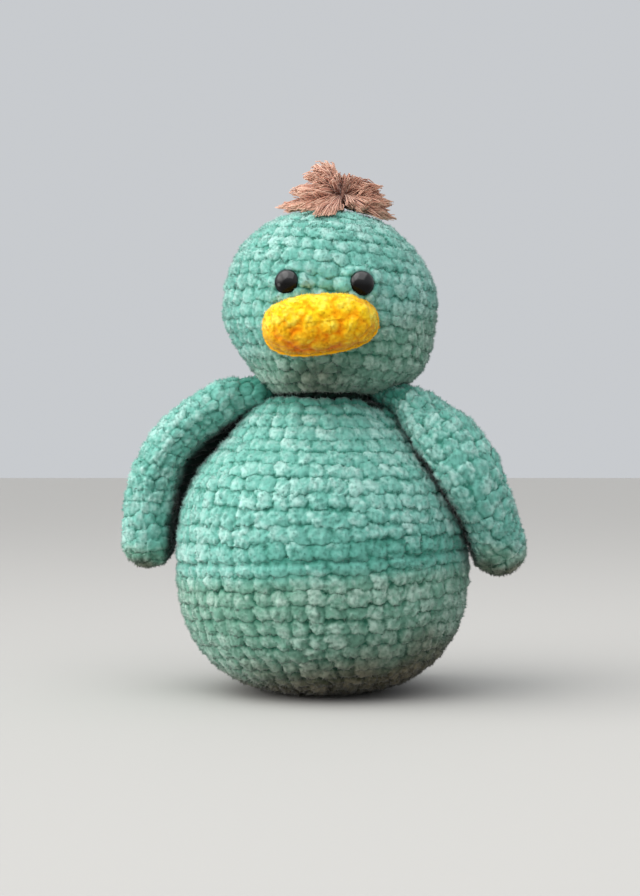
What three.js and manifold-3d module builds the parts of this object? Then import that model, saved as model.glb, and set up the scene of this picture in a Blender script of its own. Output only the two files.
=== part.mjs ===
// A crocheted duck: a round body, a head tied on at the neck, a bill, two eyes on posts,
// a tuft of yarn ends and two wings sewn on at the shoulders. Millimetres, +Z up. The origin
// is the middle of the flat spot that the body stands on, and the duck looks along -Y, so its
// own left wing is on +X.
import * as THREE from "three";
import { mergeVertices } from "three/addons/utils/BufferGeometryUtils.js";
import Module from "manifold-3d";

const wasm = await Module();
wasm.setup();

// Fabric and the gaps between pieces
const fabricThickness = 5;
const thinFabricThickness = 3.6;
const seatGap = 0.3;
const fillingGap = 0.35;

// Body: widest low down, drawn in to the neck
const bodyRadius = 70;
const bodyWidestHeight = 63;
const bodyTopHeight = 137;
const bodyNeckRadius = 22;
const bodyLowerPowers = [2.4, 2.8];
const bodyUpperPower = 2.75;
const standingFlatDepth = 0.5;

// Head: a squashed ball whose crochet axis leans towards the duck's left
const headRadius = 51.3;
const headRise = 44.6;
const headDrop = 44.5;
const headUpperPower = 2.2;
const headLowerPower = 2.7;
const headLean = 6.5;
const headShift = 3.8;
const faceTurn = 3.6;

// Neck: a ring of seam yarn, whose middle the head moves about, and a wad of filling pushed
// through it. The head's underside stays above a shallow cone to leave it room to nod
const neckYarnRadius = 3;
const neckRingRadius = 21;
const neckReliefAngle = 2;
const wadHalfHeight = 15;
const wadPower = 2.4;
const wadSwingRoom = 3;
const neckSwingRoom = 7.5;

// Bill: a flat pouch, fuller at the duck's right end
const billHalfWidth = 26.7;
const billHalfHeight = 14;
const billReach = 19;
const billPower = 2.5;
const billDepthPower = 2.4;
const billFrontShare = 0.97;
const billRoll = 5;
const billBelowHeadMiddle = 12.8;
const billSideShift = -1.9;
const billEndTaper = 0.06;
const billYarnRadius = 1.2;

// Eyes: domes on posts, locked by washers inside the head
const eyeRadius = 6;
const eyeDomeHeight = 4.6;
const eyeRimHeight = 0.6;
const eyePostRadius = 1.6;
const eyePostLength = 13;
const eyePostPlay = 0.35;
const eyeAboveHeadMiddle = 6;
const eyeHalfSpacing = 16.8;
const eyeLineRoll = 1.4;
const washerRadius = 6.4;
const washerThickness = 2;
const washerStandoff = 1.6;
const washerPlay = 1;
const eyePostPlayBehind = 2;

// Tuft: a bundle of yarn ends tied at its waist, whose tie runs through the crown to a knot
const tuftWaistRadius = 4.2;
const tuftWaistLength = 6;
const tuftStrandRadius = 2.3;
const tuftTipRadius = 0.9;
const tuftLockBow = 0.2;
const tuftLockRun = 2;
const tieYarnRadius = 1;
const tieKnotRadius = 3.2;
const tieKnotPlay = 1;
const crownHolePlay = 0.5;

// Each lock's tip from the middle of the waist: to the duck's left, to the back, and up
const tuftLockTips = [
  [-10, 1, 18],
  [-17, 4, 12],
  [-24, -2, 5],
  [-29, 3, -2],
  [-20, -11, -2],
  [-10, -16, -5],
  [-18, 14, 0],
  [-8, 18, 0],
  [-6, 9, 13],
  [-11, -8, 7],
  [4, 5, 12],
  [9, -2, 11],
  [15, -5, 8],
  [21, 1, 4],
  [25, -5, -4],
  [22, -10, -8],
  [13, -15, -4],
  [19, 12, -2],
  [9, 17, -1],
  [7, 10, 8],
  [8, -11, 4],
];

// Wings: tubes of crochet, flattened where they are sewn on and rounder towards the tip.
// Each has stations down its middle line: how far below the shoulder, how far off the body's
// surface, and the turn to the front in degrees. At even steps down the wing come the half
// sizes, thin way and broad way, and the twist in degrees of the front edge in to the body
const wingYarnRadius = 2;
const wingTipReach = 12;
const wings = {
  left: {
    side: 1,
    belowBodyTop: 7,
    drops: [0, 8, 16, 26, 35, 46, 55, 62],
    offsets: [8, 10.8, 12.4, 12.8, 12.8, 12.8, 13.4, 14.2],
    turns: [16, 21, 25, 26, 25, 20, 16, 12],
    halfThickness: [4.6, 8.6, 10.2, 10.4, 10.8, 12, 12.6],
    halfBreadth: [9.5, 15, 18.2, 18, 15.6, 13.6, 13],
    twists: [0, 16, 28, 30, 30, 26, 16],
  },
  right: {
    side: -1,
    belowBodyTop: 5.5,
    drops: [0, 4, 9, 16, 25, 36, 48, 61],
    offsets: [8.7, 12.2, 14.9, 17.4, 18.3, 17.2, 14.7, 13.5],
    turns: [2, 2, 2, 2, 2, 1, 0, 0],
    halfThickness: [6.4, 10, 10.2, 10.2, 11, 12.4, 12.6],
    halfBreadth: [9.5, 15, 18, 17.8, 15.6, 13.6, 13],
    twists: [0, 0, 0, 0, 0, 0, 0],
  },
};

// Facets, outside and inside, and steps
const bodyFacets = [36, 20];
const headFacets = [36, 20];
const billFacets = [24, 14];
const wingFacets = [16, 10];
const yarnFacets = 6;
const profileSteps = 8;
const wadSteps = [14, 24];
const billSteps = 6;
const eyeSteps = [6, 20];
const holeFacets = 10;
const wingRings = 14;
const wingEndShare = 0.02;
const lockSteps = [6, 5];

const degree = Math.PI / 180;
const up = new THREE.Vector3(0, 0, 1);

const neckHeight = bodyTopHeight + neckYarnRadius + seatGap;
const neckOpeningRadius = neckRingRadius + neckYarnRadius + 2 * seatGap;
const wadRadius = neckRingRadius - neckYarnRadius - seatGap;
const headMiddle = new THREE.Vector3(headShift, 0, neckHeight + headDrop);
const headTurn = new THREE.Matrix4().makeRotationY(headLean * degree);
const headPlace = new THREE.Matrix4().setPosition(headMiddle).multiply(headTurn);
const headUnplace = headPlace.clone().invert();
const faceForward = new THREE.Vector3(0, -1, 0).applyAxisAngle(up, -faceTurn * degree);
const faceLeft = new THREE.Vector3().crossVectors(up, faceForward);
const tieLoopRadius = tuftWaistRadius + tieYarnRadius + seatGap;

// Turns a closed geometry into a solid
function solid(geometry) {
  const bare = geometry.index ? geometry.toNonIndexed() : geometry.clone();
  bare.deleteAttribute("normal");
  bare.deleteAttribute("uv");
  const merged = mergeVertices(bare, 1e-4);
  return new wasm.Manifold(
    new wasm.Mesh({
      numProp: 3,
      vertProperties: new Float32Array(merged.attributes.position.array),
      triVerts: new Uint32Array(merged.index.array),
    }),
  );
}

// Turns a solid back into a geometry
function geometryOf(body) {
  const mesh = body.getMesh();
  const geometry = new THREE.BufferGeometry();
  const places = new THREE.BufferAttribute(new Float32Array(mesh.vertProperties), 3);
  geometry.setAttribute("position", places);
  geometry.setIndex(new THREE.BufferAttribute(new Uint32Array(mesh.triVerts), 1));
  return geometry;
}

// A profile of [radius, height] pairs, listed from the bottom up, turned about Z
function turned(profile, facets) {
  const points = profile.map(([radius, height]) => new THREE.Vector2(radius, height));
  for (const point of points) if (point.x < 1e-6) point.x = 0;
  return new THREE.LatheGeometry(points, facets).rotateX(Math.PI / 2);
}

// A plain cylinder about Z between two heights
function rod(radius, low, high, facets) {
  return turned([[0, low], [radius, low], [radius, high], [0, high]], facets);
}

// A place on a rounded outline at an angle, as [across, along]: power 2 is a circle, and a
// higher power is squarer
function rounded(angle, power) {
  const [across, along] = [Math.cos(angle), Math.sin(angle)];
  const scale = (Math.abs(across) ** power + Math.abs(along) ** power) ** (-1 / power);
  return [across * scale, along * scale];
}

// The profile of a squashed ball about its middle, with its own drop, rise and powers
function ballProfile(radius, [drop, rise], [lowerPower, upperPower], steps) {
  return Array.from({ length: steps + 1 }, (_, k) => {
    const angle = (k / steps - 0.5) * Math.PI;
    const lower = angle < 0;
    const [across, along] = rounded(angle, lower ? lowerPower : upperPower);
    return [radius * across, (lower ? drop : rise) * along];
  });
}

// A ring of points: an oval about a middle, its half sizes along two directions
function oval(middle, first, second, halfFirst, halfSecond, facets) {
  return Array.from({ length: facets }, (_, n) => {
    const angle = (n / facets) * 2 * Math.PI;
    return middle.clone()
      .addScaledVector(first, halfFirst * Math.cos(angle))
      .addScaledVector(second, halfSecond * Math.sin(angle));
  });
}

// Joins rings of equal length in their order. Looped, the last meets the first; otherwise
// both ends are closed with a fan
function skinned(rings, looped) {
  const count = rings[0].length;
  const places = rings.flat();
  const faces = [];
  for (let ring = 0; ring < rings.length - (looped ? 0 : 1); ring += 1) {
    const [here, there] = [ring * count, ((ring + 1) % rings.length) * count];
    for (let k = 0; k < count; k += 1) {
      const next = (k + 1) % count;
      faces.push(here + k, here + next, there + next, here + k, there + next, there + k);
    }
  }
  for (const [ring, flip] of looped ? [] : [[0, true], [rings.length - 1, false]]) {
    const middle = new THREE.Vector3();
    rings[ring].forEach((place) => middle.addScaledVector(place, 1 / count));
    const hub = places.push(middle) - 1;
    for (let k = 0; k < count; k += 1) {
      const [near, far] = [ring * count + k, ring * count + ((k + 1) % count)];
      faces.push(hub, flip ? far : near, flip ? near : far);
    }
  }
  const geometry = new THREE.BufferGeometry().setFromPoints(places);
  geometry.setIndex(faces);
  return geometry;
}

// A tube round a closed loop of points, with no ends
function loopedTube(loop, radius, steps, facets) {
  const curve = new THREE.CatmullRomCurve3(loop, true);
  const { normals, binormals } = curve.computeFrenetFrames(steps, true);
  const rings = Array.from({ length: steps }, (_, k) =>
    oval(curve.getPointAt(k / steps), normals[k], binormals[k], radius, radius, facets));
  return skinned(rings, true);
}

// The body's radius at a height: below the widest place a rounded quarter with two powers,
// above it a power curve that ends at the neck
function bodyRadiusAt(height) {
  if (height < bodyWidestHeight) {
    const depth = (bodyWidestHeight - height) / (bodyWidestHeight + standingFlatDepth);
    const [across, along] = bodyLowerPowers;
    return bodyRadius * Math.max(1 - depth ** across, 0) ** (1 / along);
  }
  const rise = (height - bodyWidestHeight) / (bodyTopHeight - bodyWidestHeight);
  return bodyNeckRadius + (bodyRadius - bodyNeckRadius) * (1 - rise ** bodyUpperPower);
}

// The body's outward direction in its profile, as [outward, up]
function bodyNormalAt(height) {
  const step = 0.1;
  const slope = (bodyRadiusAt(height) - bodyRadiusAt(height - step)) / step;
  const length = Math.hypot(1, slope);
  return [1 / length, -slope / length];
}

// The body's profile from the bottom to the neck, drawn in by an inset along its normal
function bodyProfile(inset) {
  const neckSpan = bodyTopHeight - bodyWidestHeight;
  const profile = [];
  for (let k = 1; k <= 2 * profileSteps; k += 1) {
    const angle = ((k / profileSteps - 1) * Math.PI) / 2;
    const span = angle < 0 ? bodyWidestHeight : neckSpan;
    const height = bodyWidestHeight + span * Math.sin(angle);
    const [outward, rising] = bodyNormalAt(height);
    profile.push([bodyRadiusAt(height) - inset * outward, height - inset * rising]);
  }
  const above = profile.filter(([, height]) => height > inset);
  const top = above[above.length - 1][1];
  return [[0, inset], [bodyRadiusAt(0), inset], ...above, [0, top]];
}

function bodyCover() {
  const [outside, inside] = bodyFacets;
  const hollow = solid(turned(bodyProfile(fabricThickness), inside));
  const mouthFloor = bodyTopHeight - 4 * fabricThickness;
  const mouth = solid(rod(bodyNeckRadius - 1, mouthFloor, bodyTopHeight + 1, outside));
  return solid(turned(bodyProfile(0), outside)).subtract(hollow).subtract(mouth);
}

function bodyStuffing() {
  const facets = bodyFacets[1];
  const wadFloor = neckHeight - wadHalfHeight - wadSwingRoom;
  const wadRoom = solid(rod(wadRadius + wadSwingRoom, wadFloor, bodyTopHeight, facets));
  const mouthFloor = bodyTopHeight - fabricThickness;
  const mouthRoom = solid(rod(bodyRadius, mouthFloor, bodyTopHeight, facets));
  return solid(turned(bodyProfile(fabricThickness + fillingGap), facets))
    .subtract(wadRoom)
    .subtract(mouthRoom);
}

function headForm(inset, facets) {
  const reaches = [headDrop - inset, headRise - inset];
  const powers = [headLowerPower, headUpperPower];
  const profile = ballProfile(headRadius - inset, reaches, powers, 2 * profileSteps);
  return solid(turned(profile, facets).applyMatrix4(headPlace));
}

// How far out a place is from the head's middle: under 1 inside the head, 1 on its surface
function headLevel(place) {
  const local = place.clone().applyMatrix4(headUnplace);
  const lower = local.z < 0;
  const power = lower ? headLowerPower : headUpperPower;
  const across = Math.hypot(local.x, local.y) / headRadius;
  const along = Math.abs(local.z) / (lower ? headDrop : headRise);
  return (across ** power + along ** power) ** (1 / power);
}

// The place on the head's front at a distance to the duck's left and up from the head's
// middle, found by halving along the way the face looks, with the outward direction there
function facePlace(left, upwards) {
  const start = headMiddle.clone().addScaledVector(faceLeft, left).addScaledVector(up, upwards);
  let [near, far] = [0, 2 * headRadius];
  while (far - near > 1e-6) {
    const middle = (near + far) / 2;
    const inside = headLevel(start.clone().addScaledVector(faceForward, middle)) < 1;
    [near, far] = inside ? [middle, far] : [near, middle];
  }
  const place = start.addScaledVector(faceForward, near);
  const normal = new THREE.Vector3();
  for (const axis of ["x", "y", "z"]) {
    const ahead = place.clone();
    ahead[axis] += 0.1;
    normal[axis] = headLevel(ahead) - headLevel(place);
  }
  return { place, normal: normal.normalize() };
}

// Room that the head leaves free: below the cone round the neck, and inside its opening up
// to a ceiling
function neckRelief(ceiling) {
  const slope = Math.tan(neckReliefAngle * degree);
  const wide = 2 * headRadius;
  const profile = [
    [0, neckHeight - headDrop],
    [wide, neckHeight - headDrop],
    [wide, neckHeight + wide * slope],
    [neckOpeningRadius, neckHeight + neckOpeningRadius * slope],
    [neckOpeningRadius, ceiling],
    [0, ceiling],
  ];
  return solid(turned(profile, headFacets[0]));
}

// Places something made along Z at a place on the head, its Z along the outward direction
function onHead(geometry, { place, normal }) {
  const aim = new THREE.Quaternion().setFromUnitVectors(up, normal);
  return geometry.applyQuaternion(aim).translate(place.x, place.y, place.z);
}

function crownPlace() {
  const place = new THREE.Vector3(0, 0, headRise).applyMatrix4(headPlace);
  const normal = up.clone().transformDirection(headPlace);
  return { place, normal };
}

function eyePlace(side) {
  const drop = side * eyeHalfSpacing * Math.tan(eyeLineRoll * degree);
  return facePlace(side * eyeHalfSpacing, eyeAboveHeadMiddle - drop);
}

function headCover() {
  const [outside, inside] = headFacets;
  const deep = 2 * fabricThickness;
  let cover = headForm(0, outside)
    .subtract(headForm(fabricThickness, inside))
    .subtract(neckRelief(neckHeight + 3 * fabricThickness));
  for (const side of [-1, 1]) {
    const hole = rod(eyePostRadius + eyePostPlay, -deep, deep, holeFacets);
    cover = cover.subtract(solid(onHead(hole, eyePlace(side))));
  }
  const tieHole = rod(tieYarnRadius + crownHolePlay, -deep, deep, holeFacets);
  return cover.subtract(solid(onHead(tieHole, crownPlace())));
}

function headStuffing() {
  const facets = headFacets[1];
  const wadCeiling = neckHeight + wadHalfHeight + wadSwingRoom;
  const wadRoom = solid(rod(wadRadius + wadSwingRoom, neckHeight, wadCeiling, facets));
  let filling = headForm(fabricThickness + fillingGap, facets)
    .subtract(neckRelief(neckHeight + neckSwingRoom))
    .subtract(wadRoom);
  for (const side of [-1, 1]) {
    const depth = eyePostLength + eyePostPlayBehind;
    const room = rod(washerRadius + washerPlay, -depth, 0, holeFacets);
    filling = filling.subtract(solid(onHead(room, eyePlace(side))));
  }
  const knotDepth = fabricThickness + 2 * (tieKnotRadius + tieKnotPlay);
  const knotRoom = rod(tieKnotRadius + tieKnotPlay, -knotDepth, 0, holeFacets);
  return filling.subtract(solid(onHead(knotRoom, crownPlace())));
}

// The wad of filling inside the neck's ring of yarn
function neckStuffing() {
  const [steps, facets] = wadSteps;
  const profile = ballProfile(wadRadius, [wadHalfHeight, wadHalfHeight], [wadPower, wadPower], steps);
  return solid(turned(profile, facets).translate(0, 0, neckHeight));
}

// The ring of yarn that ties the head to the body
function neckSeam() {
  const ring = new THREE.TorusGeometry(neckRingRadius, neckYarnRadius, 8, bodyFacets[0]);
  return solid(ring.translate(0, 0, neckHeight));
}

// The bill's outline at an angle round it, as [to the duck's left, up] from its middle: a
// rounded oblong, fuller at the duck's right end, rolled with the face
function billOutline(angle, halfWidth, halfHeight) {
  const [across, along] = rounded(angle, billPower);
  const wide = halfWidth * across;
  const tall = halfHeight * along * (1 - (billEndTaper * wide) / billHalfWidth);
  const [cosine, sine] = [Math.cos(billRoll * degree), Math.sin(billRoll * degree)];
  return [wide * cosine - tall * sine, wide * sine + tall * cosine];
}

// One ring of the bill at a distance ahead of its root, at a share of its full outline
function billRing(root, ahead, share, inset, facets) {
  return Array.from({ length: facets }, (_, n) => {
    const [halfWidth, halfHeight] = [billHalfWidth - inset, billHalfHeight - inset];
    const [left, upwards] = billOutline((n / facets) * 2 * Math.PI, halfWidth * share, halfHeight * share);
    return root.clone()
      .addScaledVector(faceForward, ahead)
      .addScaledVector(faceLeft, left)
      .addScaledVector(up, upwards);
  });
}

// The bill as rings from inside the head to its front, drawn in by an inset
function billForm(inset, facets) {
  const root = facePlace(billSideShift, -billBelowHeadMiddle).place;
  const rings = [billRing(root, -headRadius / 3, 1, inset, facets)];
  for (let k = 0; k <= billSteps; k += 1) {
    const [across, along] = rounded((k / billSteps) * billFrontShare * 0.5 * Math.PI, billDepthPower);
    rings.push(billRing(root, (billReach - inset) * along, across, inset, facets));
  }
  return solid(skinned(rings));
}

// The bill's mouth stands off the head by the yarn that sews it on
function billCover() {
  const [outside, inside] = billFacets;
  const yarnRoom = 2 * billYarnRadius + 3 * seatGap;
  return billForm(0, outside)
    .subtract(billForm(thinFabricThickness, inside))
    .subtract(headForm(-yarnRoom, headFacets[0]));
}

function billStuffing() {
  const filling = billForm(thinFabricThickness + fillingGap, billFacets[1]);
  return filling.subtract(headForm(-fillingGap, headFacets[0]));
}

// The yarn that sews the bill on, a loop under the middle of the fabric's edge
function billSeam() {
  const [points, inset] = [billFacets[0], thinFabricThickness / 2];
  const loop = Array.from({ length: points }, (_, n) => {
    const angle = (n / points) * 2 * Math.PI;
    const [left, upwards] = billOutline(angle, billHalfWidth - inset, billHalfHeight - inset);
    const { place, normal } = facePlace(billSideShift + left, upwards - billBelowHeadMiddle);
    return place.addScaledVector(normal, billYarnRadius + seatGap);
  });
  return solid(loopedTube(loop, billYarnRadius, 2 * points, yarnFacets));
}

function eye(side) {
  const [steps, facets] = eyeSteps;
  const profile = [
    [0, -eyePostLength],
    [eyePostRadius, -eyePostLength],
    [eyePostRadius, seatGap],
    [eyeRadius, seatGap],
  ];
  for (let k = 0; k <= steps; k += 1) {
    const [across, along] = rounded((k / steps) * 0.5 * Math.PI, 2);
    const rise = eyeRimHeight + (eyeDomeHeight - eyeRimHeight) * along;
    profile.push([eyeRadius * across, seatGap + rise]);
  }
  return solid(onHead(turned(profile, facets), eyePlace(side)));
}

function eyeWasher(side) {
  const top = -fabricThickness - washerStandoff;
  const bore = eyePostRadius + seatGap;
  const profile = [
    [bore, top - washerThickness],
    [washerRadius, top - washerThickness],
    [washerRadius, top],
    [bore, top],
    [bore, top - washerThickness],
  ];
  return solid(onHead(turned(profile, eyeSteps[1]), eyePlace(side)));
}

// The middle of the tuft's waist, over the crown by the tie's own room
function waistPlace() {
  const { place, normal } = crownPlace();
  return place.addScaledVector(normal, tieLoopRadius + tieYarnRadius + seatGap);
}

// Places something made about the middle of the waist
function atWaist(geometry) {
  const { x, y, z } = waistPlace();
  return geometry.translate(x, y, z);
}

// One lock: a tube that thins to its tip and bows upwards on the way
function tuftLock([left, back, rise]) {
  const side = Math.sign(left);
  const start = new THREE.Vector3((side * tuftWaistLength) / 3, 0, 0);
  const first = start.clone().add(new THREE.Vector3(side * tuftLockRun, 0, tuftLockRun / 2));
  const tip = new THREE.Vector3(left, back, rise);
  const bow = start.clone().lerp(tip, 0.5).addScaledVector(up, tuftLockBow * tip.length());
  const path = new THREE.CatmullRomCurve3([start, first, bow, tip]);
  const [steps, sides] = lockSteps;
  const { normals, binormals } = path.computeFrenetFrames(steps, false);
  const rings = Array.from({ length: steps + 1 }, (_, k) => {
    const share = k / steps;
    const radius = tuftStrandRadius + (tuftTipRadius - tuftStrandRadius) * share ** 1.5;
    return oval(path.getPointAt(share), normals[k], binormals[k], radius, radius, sides);
  });
  return skinned(rings);
}

// The loop of the tie stands round the waist, across the bundle
function tieLoop(gap) {
  const loop = new THREE.TorusGeometry(tieLoopRadius, tieYarnRadius + gap, 8, 20);
  return solid(atWaist(loop.rotateY(Math.PI / 2)));
}

function tuft() {
  const waist = rod(tuftWaistRadius, -tuftWaistLength / 2, tuftWaistLength / 2, holeFacets);
  let bundle = solid(atWaist(waist.rotateY(Math.PI / 2)));
  for (const tip of tuftLockTips) {
    bundle = bundle.add(solid(atWaist(tuftLock(tip))));
  }
  return bundle.subtract(tieLoop(seatGap)).subtract(headForm(-seatGap, headFacets[0]));
}

function tuftTie() {
  const stem = rod(tieYarnRadius, -fabricThickness - tieKnotRadius, tieYarnRadius, 8);
  const knot = new THREE.SphereGeometry(tieKnotRadius, 12, 8).rotateX(Math.PI / 2);
  knot.translate(0, 0, -fabricThickness - 2 * seatGap - tieKnotRadius);
  const under = solid(onHead(stem, crownPlace())).add(solid(onHead(knot, crownPlace())));
  return tieLoop(0).add(under);
}

// A place over the body's surface: foot height, distance off the surface, turn to the front
function overBody(side, height, distance, turn) {
  const [outward, rising] = bodyNormalAt(height);
  const reach = bodyRadiusAt(height) + distance * outward;
  const angle = turn * degree;
  const across = side * reach * Math.cos(angle);
  return new THREE.Vector3(across, -reach * Math.sin(angle), height + distance * rising);
}

// The wing's middle line, from the pivot at the shoulder down to the middle of the tip
function wingPath({ side, belowBodyTop, drops, offsets, turns }) {
  const shoulder = bodyTopHeight - belowBodyTop;
  const places = drops.map((drop, k) => overBody(side, shoulder - drop, offsets[k], turns[k]));
  return new THREE.CatmullRomCurve3(places, false, "centripetal");
}

// Reads a list of values at even steps at a share of the way along, eased between them
function stepped(values, share) {
  const place = share * (values.length - 1);
  const index = Math.min(Math.floor(place), values.length - 2);
  const part = place - index;
  const eased = part * part * (3 - 2 * part);
  return values[index] + (values[index + 1] - values[index]) * eased;
}

// One wing as oval rings along its middle line, drawn in by an inset. The root is rounded
// about the pivot, and opened, it runs on behind the pivot at its full size
function wingForm(wing, inset, facets, opened) {
  const path = wingPath(wing);
  const length = path.getLength();
  const rootReach = wing.halfThickness[0] - inset;
  const tipReach = wingTipReach - inset;
  const rings = [];
  for (let k = 0; k <= wingRings; k += 1) {
    const angle = (wingEndShare + (1 - 2 * wingEndShare) * (k / wingRings)) * Math.PI;
    const swept = (1 - Math.cos(angle)) / 2;
    const place = (length + tipReach + rootReach) * swept - rootReach;
    const behind = opened ? 0 : Math.max(-place, 0) / rootReach;
    const past = Math.max(place - length, 0) / tipReach;
    const size = Math.sqrt(1 - Math.max(behind, past) ** 2);
    rings.push(wingRing(wing, path, place, size, inset, facets));
  }
  if (opened) rings.unshift(wingRing(wing, path, -2 * wing.halfThickness[0], 1, inset, facets));
  return solid(skinned(rings));
}

// One oval ring: thin across the body's surface, broad along it, twisted about the middle
// line. Before the pivot and past the last station it keeps its size and goes straight on
function wingRing(wing, path, place, size, inset, facets) {
  const length = path.getLength();
  const share = THREE.MathUtils.clamp(place / length, 0, 1);
  const ahead = path.getTangentAt(share);
  const middle = path.getPointAt(share);
  middle.addScaledVector(ahead, place - THREE.MathUtils.clamp(place, 0, length));
  const turn = stepped(wing.turns, share) * degree;
  const broad = new THREE.Vector3(-wing.side * Math.sin(turn), -Math.cos(turn), 0);
  broad.addScaledVector(ahead, -broad.dot(ahead)).normalize();
  broad.applyAxisAngle(ahead, wing.side * stepped(wing.twists, share) * degree);
  const thin = new THREE.Vector3().crossVectors(ahead, broad);
  const halfBreadth = (stepped(wing.halfBreadth, share) - inset) * size;
  const halfThickness = (stepped(wing.halfThickness, share) - inset) * size;
  return oval(middle, broad, thin, halfBreadth, halfThickness, facets);
}

function wingCover(wing) {
  const [outside, inside] = wingFacets;
  const hollow = wingForm(wing, thinFabricThickness, inside, true);
  return wingForm(wing, 0, outside, false).subtract(hollow);
}

function wingStuffing(wing) {
  return wingForm(wing, thinFabricThickness + fillingGap, wingFacets[1], false);
}

// The loop of yarn between a wing's root and the body, lying on the body's surface
function wingSeam(wing) {
  const points = wingFacets[0];
  const halfBreadth = wing.halfBreadth[0] - wingYarnRadius;
  const halfRise = wing.halfThickness[0] - wingYarnRadius / 2;
  const shoulder = bodyTopHeight - wing.belowBodyTop;
  const [outward] = bodyNormalAt(shoulder);
  const loop = Array.from({ length: points }, (_, n) => {
    const angle = (n / points) * 2 * Math.PI;
    const foot = shoulder + halfRise * Math.sin(angle) * outward;
    const around = (halfBreadth * Math.cos(angle)) / bodyRadiusAt(foot) / degree;
    return overBody(wing.side, foot, wingYarnRadius + seatGap, wing.turns[0] + around);
  });
  return solid(loopedTube(loop, wingYarnRadius, 2 * points, yarnFacets))
    .subtract(wingForm(wing, -seatGap, wingFacets[0], false));
}

// Finishes
const teal = { color: 0x7ec2b2, roughness: 0.95, metalness: 0 };
const yellow = { color: 0xf6c02c, roughness: 0.95, metalness: 0 };
const white = { color: 0xf1f0ea, roughness: 1, metalness: 0 };
const black = { color: 0x0b0b0c, roughness: 0.12, metalness: 0 };
const roseBrown = { color: 0xa5765f, roughness: 0.8, metalness: 0 };

const duck = new THREE.Group();

function add(name, body, finish) {
  const mesh = new THREE.Mesh(geometryOf(body), new THREE.MeshStandardMaterial(finish));
  mesh.name = name;
  duck.add(mesh);
}

add("body_cover", bodyCover(), teal);
add("body_stuffing", bodyStuffing(), white);
add("neck_seam", neckSeam(), teal);
add("neck_stuffing", neckStuffing(), white);
add("head_cover", headCover(), teal);
add("head_stuffing", headStuffing(), white);
add("bill_cover", billCover(), yellow);
add("bill_stuffing", billStuffing(), white);
add("bill_seam", billSeam(), yellow);
for (const [name, side] of [["left", 1], ["right", -1]]) {
  add(`eye_${name}`, eye(side), black);
  add(`eye_washer_${name}`, eyeWasher(side), white);
}
add("tuft", tuft(), roseBrown);
add("tuft_tie", tuftTie(), roseBrown);
for (const [name, wing] of Object.entries(wings)) {
  add(`wing_${name}_cover`, wingCover(wing), teal);
  add(`wing_${name}_stuffing`, wingStuffing(wing), white);
  add(`wing_${name}_seam`, wingSeam(wing), teal);
}

export default duck;
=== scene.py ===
"""A crocheted duck of thick chenille yarn: a round body, a head, a bill, two eyes, a tuft of
yarn ends and two wings. Sizes are in millimetres until a mesh is made. The duck looks along
-Y, and its own left is +X.

Each crocheted cover is a grid of places over its form. Rounds of stitches climb round it in
one spiral, and every stitch is raised from the grid in numpy. Short pile stands on the yarn.
"""

import itertools
import math

import bpy
import numpy as np
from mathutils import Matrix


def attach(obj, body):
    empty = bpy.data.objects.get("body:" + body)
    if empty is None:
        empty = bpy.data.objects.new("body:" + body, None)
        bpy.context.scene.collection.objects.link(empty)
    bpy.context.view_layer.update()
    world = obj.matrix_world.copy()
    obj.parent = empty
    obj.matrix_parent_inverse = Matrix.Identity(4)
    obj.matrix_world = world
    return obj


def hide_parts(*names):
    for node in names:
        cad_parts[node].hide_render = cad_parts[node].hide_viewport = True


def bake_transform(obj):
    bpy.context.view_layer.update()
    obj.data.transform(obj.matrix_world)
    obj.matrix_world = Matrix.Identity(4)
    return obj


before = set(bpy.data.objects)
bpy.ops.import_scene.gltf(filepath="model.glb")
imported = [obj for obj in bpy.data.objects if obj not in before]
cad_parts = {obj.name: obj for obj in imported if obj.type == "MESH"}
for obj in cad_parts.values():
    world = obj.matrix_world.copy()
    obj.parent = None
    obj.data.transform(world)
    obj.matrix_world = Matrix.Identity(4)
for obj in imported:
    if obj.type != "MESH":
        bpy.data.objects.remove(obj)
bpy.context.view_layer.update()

# Camera: level, in front of the duck, with the height that it sees at the duck's middle
camera_place = (-1.2, -850.0, 116.0)
sight_height = 430.08

# Fabric
fabric_thickness = 5.0
thin_thickness = 3.6
seat_gap = 0.3
filling_gap = 0.35

# Stitches: the width of one and the most in a round; how far they stray; the size and slant
# of a knob against its own place, the powers and share of its shape across, and its lip; the
# share of crumpled patches; in millimetres the depth of the creases and the height of the
# crowns, of the curls, of the fuzz and of the droop of a knob's foot; and the width and share
# of the round lumps that break the rounds up. The bill's last rows face the same way as its
# front, and only its first row is drawn together.
body_stitch = {
    "width": 8.1, "most": 48, "uneven": 1.3, "tall": 0.62, "wide": 1.16, "slant": 0.3,
    "square": 3.2, "side": 0.84, "lip": 0.34, "crumple": 0.15, "crease": 2.25, "crown": 0.8,
    "curl": 1.2, "fine": 0.3, "droop": 1.2, "curd": 4.5, "jumble": 0.1,
}
head_stitch = {
    "width": 7.9, "most": 42, "uneven": 1.3, "tall": 0.62, "wide": 1.15, "slant": 0.25,
    "square": 3.4, "side": 0.84, "lip": 0.32, "crumple": 0.0, "crease": 2.1, "crown": 0.7,
    "curl": 1.0, "fine": 0.28, "droop": 1.2, "curd": 4.5, "jumble": 0.08,
}
bill_stitch = {
    "width": 6.2, "most": 22, "uneven": 1.9, "tall": 0.67, "wide": 1.3, "slant": 0.2,
    "square": 3.0, "side": 1.0, "lip": 0.1, "crumple": 0.3, "crease": 1.7, "crown": 0.8,
    "curl": 1.0, "fine": 0.3, "droop": 0.0, "curd": 6.2, "jumble": 1.0,
    "poles": (0,), "front": 14,
}
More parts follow.
